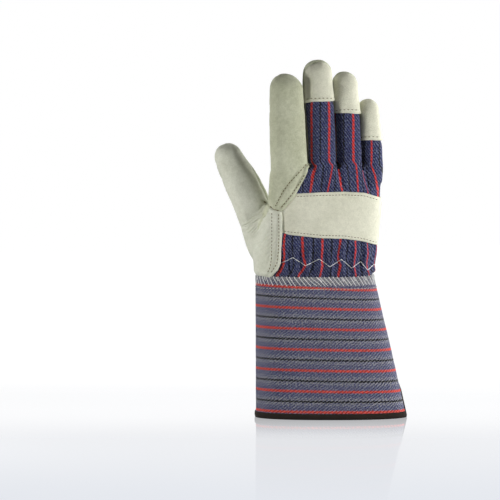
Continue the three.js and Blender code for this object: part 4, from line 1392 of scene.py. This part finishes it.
def stitch_row(bm, names, path, facing, pitch=3.1, length=2.0, width=0.85, lift=0.03):
    """Short stitches along a path on the surface of pieces."""
    places = np.arange(pitch * 0.5, path_lengths(path)[2][-1], pitch)
    for start, end in zip(points_along(path, places - length / 2), points_along(path, places + length / 2)):
        ends = [on_surface(names, *point, facing) for point in (start, end)]
        if None in ends:
            continue
        (a, na), (b, nb) = ends
        if facing == FROM_PALM and min(a.y, b.y) < 0:
            continue
        span = (b - a).length
        if not 0.2 <= span <= 2.2 * length:
            continue
        along = (b - a).normalized()
        out = (na + nb).normalized()
        out = (out - along * out.dot(along)).normalized()
        aside = along.cross(out)
        turn = Matrix((along, aside, out)).transposed().to_4x4()
        size = Matrix.Diagonal((span / 2 + width * 0.3, width / 2, width * 0.42, 1))
        place_at = Matrix.Translation((a + b) / 2 + out * (lift + width * 0.1))
        bmesh.ops.create_uvsphere(bm, u_segments=6, v_segments=5, radius=1, matrix=place_at @ turn @ size)


# Rows of stitches on the back, beside the seam: B next to it, and A further in on the leather
ROW_A_UPPER = [(-22.4, 233), (-31.9, 222.6), (-38.9, 215.2), (-44.6, 207), (-47.1, 202), (-50.8, 194.6)]
ROW_B_UPPER = [(-24.5, 223.4), (-28.2, 216.5), (-36.4, 204.8), (-42.6, 197), (-46.3, 192.6)]
ROW_A_LOWER = [(-54.1, 188.8), (-54.1, 160.2), (-54.5, 146.9), (-55.8, 138.1), (-58.6, 133)]
ROW_B_LOWER = [(-47.9, 187.9), (-47.6, 168.5), (-48.2, 153.8), (-49.6, 142), (-55.5, 132.9)]
CROSS_ROW = [(-61.5, 197.2), (-60.3, 196.6), (-52.1, 191.3), (-45.6, 189.8)]
HEEL_ROW = [(-65.2, 133), (-66.4, 141), (-69, 149)]


def shifted(path, dz, low, high):
    """The part of a path between two values of x, moved up by dz."""
    return [(x, z + dz) for x, z in path if low <= x <= high]


def stitch_piece(bm, name):
    bmesh.ops.recalc_face_normals(bm, faces=bm.faces)
    finish_piece(to_mesh(bm, name), name, [OLIVE_THREAD])


def make_leather_stitches():
    bm = bmesh.new()
    leather = ["palm", "thumb_back"]
    for path in (ROW_A_UPPER, ROW_B_UPPER, ROW_A_LOWER, ROW_B_LOWER):
        stitch_row(bm, leather, path, FROM_BACK)
    stitch_row(bm, leather, CROSS_ROW, FROM_BACK, pitch=2.2, length=2.1, width=1.05, lift=0.05)
    for cap, place in CAPS.items():
        finger = FINGERS[place]
        above = finger["length"] - CAP_LENGTH + CAP_ROW_INSET
        x, _, half_width, _ = finger_section(finger, above)
        row = [(x + side * half_width, FORK + above - drop)
               for side, drop in ((-0.8, 1.5), (-0.4, 0.3), (0.3, 0), (0.85, 0.6))]
        stitch_row(bm, [cap], row, FROM_BACK, pitch=3.6, length=1.8, width=0.75)
    stitch_row(bm, leather, HEEL_ROW, FROM_PALM)
    left, right = PATCH_LEFT + PATCH_ROW_INSET, PATCH_RIGHT - PATCH_ROW_INSET
    rounds = [(left + 0.5, PATCH_TOP - 2), (left, 116), (left + 1.5, 110), (left + 4.5, 105.8),
              (left + 10, 104), (PATCH_RIGHT - 36, 98.2), (PATCH_RIGHT - 20, 97.2), (PATCH_RIGHT - 11, 99.3),
              (PATCH_RIGHT - 5.6, 104), (right, 112), (right, PATCH_TOP - 2)]
    stitch_row(bm, ["wrist_patch"], rounds, FROM_PALM, pitch=3.0, length=1.9, width=0.7)
    for z in (PATCH_TOP - 2.2, PATCH_TOP - 8):
        row = [(left, z + 0.5), (right, z - 2.5)]
        stitch_row(bm, ["wrist_patch"], row, FROM_PALM, pitch=3.3, length=2.1, width=0.8)
    stitch_piece(bm, "leather_stitches")


def make_strap_stitches():
    bm = bmesh.new()
    top = shifted(STRAP_TOP, -STRAP_ROW_INSET, -34, 48)
    low = shifted(STRAP_LOW, STRAP_ROW_INSET, -45, 46)
    for path in (top, low):
        stitch_row(bm, ["knuckle_strap"], path, FROM_BACK, pitch=2.9, length=1.9, width=0.65)
    stitch_piece(bm, "strap_stitches")


make_leather_stitches()
make_strap_stitches()


def thread_piece(lines, radius, name, material):
    """Round threads through lists of points, in glove millimetres, as one piece."""
    curve = bpy.data.curves.new(name, "CURVE")
    curve.dimensions = "3D"
    curve.bevel_depth = radius
    curve.bevel_resolution = 1
    curve.use_fill_caps = True
    for points in lines:
        spline = curve.splines.new("POLY")
        spline.points.add(len(points) - 1)
        for place, point in zip(spline.points, points):
            place.co = (*point, 1)
    mesh = shown_mesh(add_object(name, curve))
    mesh.materials.clear()
    mesh.name = name
    finish_piece(mesh, name, [material])


ZIGZAG_STEP, ZIGZAG_RADIUS = 0.6, 0.32


def make_zigzag():
    """The elastic's thread, in stitches that follow the zigzag and dip into the cloth between them."""
    places = np.arange(0, path_lengths(ZIGZAG)[2][-1], ZIGZAG_STEP)
    points = []
    for (x, z), place in zip(points_along(ZIGZAG, places), places):
        hit = on_surface(["hand_back"], x, z, FROM_BACK, 0.1 + 0.4 * math.sin(place * 2.2))
        if hit:
            points.append(hit[0])
    thread_piece([points], ZIGZAG_RADIUS, "elastic_thread", WHITE_THREAD)


make_zigzag()


def cuff_point(angle, z, out):
    """A point out from the cuff's face, at an angle round it."""
    x, half_width, half_depth = cuff_section(z)
    u, v = oval(half_width, half_depth, angle, CUFF_SQUARENESS)
    wave = float(cuff_waves(np.array([[x + u, v, z]]))[0])
    normal = Vector((u / half_width ** 2, v / half_depth ** 2, 0)).normalized()
    return Vector((x + u, v, z)) + normal * (out + wave)


def even_angles(z, pitch):
    """Angles round the cuff at an even pitch."""
    fine = np.linspace(0, 2 * math.pi, 1440)
    _, half_width, half_depth = cuff_section(z)
    length = round_lengths(fine, half_width, half_depth, CUFF_SQUARENESS)
    count = round(length[-1] / pitch)
    return np.interp(np.arange(count) / count * length[-1], length, fine)


def under_patch(point):
    return point.y > 0 and PATCH_LEFT < point.x < PATCH_RIGHT


OVERLOCK_PITCH, OVERLOCK_HEIGHT, OVERLOCK_RADIUS = 3.9, 7.4, 0.29
ROW_HEIGHT, ROW_PITCH, ROW_TURN, ROW_RADIUS = 119.2, 3.4, 0.018, 0.32


def make_overlock():
    """Slanting threads over the raw top edge of the cuff, and the row of stitches below them."""
    loops, dashes = [], []
    top = CUFF_HEIGHT - 0.4
    angles = even_angles(top, OVERLOCK_PITCH)
    step = angles[1] - angles[0]
    for number, angle in enumerate(angles):
        if under_patch(cuff_point(angle, top, 0)):
            continue
        sway = 0.25 * noise.noise(Vector((number * 0.7, 2.0, 0)))
        drop = OVERLOCK_HEIGHT + 1.1 * noise.noise(Vector((number * 0.9, 7.0, 0)))
        slant = 1 if math.sin(angle) < 0 else -1

        def at(turned, fall, out):
            return cuff_point(angle + slant * step * (turned + sway), top - fall, out)

        strand = [at(0.95 * t, drop * t, 0.3) for t in (0.04, 0.3, 0.6, 1)]
        loops.append([at(0, -0.5, -1.2), at(0, -0.7, -0.3), *strand])
        if number % 3 == 0:
            loops.append([at(0.6, -0.3, 0), at(1.1, drop * 0.45, 0.25)])
    for angle in even_angles(ROW_HEIGHT - 1.2, ROW_PITCH):
        dash = [cuff_point(angle + turn * ROW_TURN, ROW_HEIGHT, out)
                for turn, out in ((0, 0.15), (1, 0.28), (2, 0.15))]
        if not under_patch(dash[0]):
            dashes.append(dash)
    thread_piece(loops, OVERLOCK_RADIUS, "cuff_overlock", WHITE_THREAD)
    thread_piece(dashes, ROW_RADIUS, "cuff_stitches", PALE_THREAD)


make_overlock()


# Floor, light and camera

FLOOR_HALF_WIDTH = 40000


def make_floor():
    """A wide white floor. It mirrors the glove a little near its cuff and is greyer towards the camera."""
    bm = bmesh.new()
    bmesh.ops.create_grid(bm, x_segments=1, y_segments=1, size=FLOOR_HALF_WIDTH)
    mesh = to_mesh(bm, "floor")
    mesh.transform(GLOVE_TO_ROW)
    finish = Finish("floor")
    y = finish.parts(finish.place())[1]
    behind = y.band(-0.05, 0.4)
    front = y.band(-0.85, -0.05) + (1 - y.band(-2.4, -1.3))
    glow = finish.mixed(front, srgb(225, 229, 236), srgb(232, 233, 236))
    glow = finish.mixed(behind, glow, (1, 1, 1, 1))
    mirror, plain = (
        finish.add("BsdfPrincipled", {}, {
            "Base Color": srgb(60, 61, 62), "Roughness": 0.045, "Specular IOR Level": level,
            "Emission Color": glow, "Emission Strength": strength})
        for level, strength in ((0.5, 0.5), (0, 1)))
    near = (y.band(-0.2, 0.01) * 0.8 + y.band(-0.8, -0.1) * 0.2) * (1 - y.band(0.03, 0.3))
    surface = finish.add("MixShader", {}, [near, plain, mirror])
    finish.fill(finish.tree.nodes["Material Output"].inputs["Surface"], surface)
    mesh.materials.append(finish.material)
    floor = add_object("floor", mesh)
    floor.visible_diffuse = False


def add_light(name, place, aim, size, power):
    """A lamp that lights the glove and isn't seen, in metres and watts."""
    light = bpy.data.lights.new(name, "AREA")
    light.shape = "RECTANGLE"
    light.size, light.size_y = size
    light.energy = power
    holder = add_object(name, light)
    holder.location = place
    holder.rotation_euler = (Vector(aim) - Vector(place)).to_track_quat("-Z", "Y").to_euler()
    holder.visible_camera = False
    holder.visible_glossy = False


make_floor()
world = bpy.data.worlds.new("studio")
world.use_nodes = True
background = world.node_tree.nodes["Background"]
background.inputs["Color"].default_value = (1, 1, 1, 1)
background.inputs["Strength"].default_value = 1
world.cycles_visibility.diffuse = False
bpy.context.scene.world = world
bpy.context.scene.view_settings.view_transform = "Standard"
add_light("left_softbox", (-0.5, -0.3, 0.12), (-0.04, 0, 0.15), (0.12, 0.25), 2.6)
add_light("right_softbox", (0.62, -0.25, 0.23), (0.03, 0, 0.17), (0.2, 0.5), 5.8)
add_light("top_softbox", (0, -0.2, 1.3), (0, 0, 0.1), (1.2, 0.8), 1.2)
add_light("front_fill", (-0.4, -2.2, 0.4), (0, 0, 0.17), (1.6, 1.2), 5.1)
add_light("back_softbox", (0.75, 0.6, 0.4), (0, 0, 0.17), (0.4, 0.8), 8.5)
add_light("back_fill", (-0.3, 1.6, 0.5), (0, 0, 0.17), (1.2, 1.2), 15)

AIM = Vector((-74.0, 0, 152.6))
ELEVATION = math.radians(5)
DISTANCE = 6335
camera_data = bpy.data.cameras.new("camera")
camera_data.lens = 500
camera_data.sensor_width = 36
camera = add_object("camera", camera_data)
camera.location = GLOVE_TO_ROW @ (AIM + Vector((0, -math.cos(ELEVATION), math.sin(ELEVATION))) * DISTANCE)
camera.rotation_euler = (math.pi / 2 - ELEVATION, 0, 0)
bpy.context.scene.camera = camera
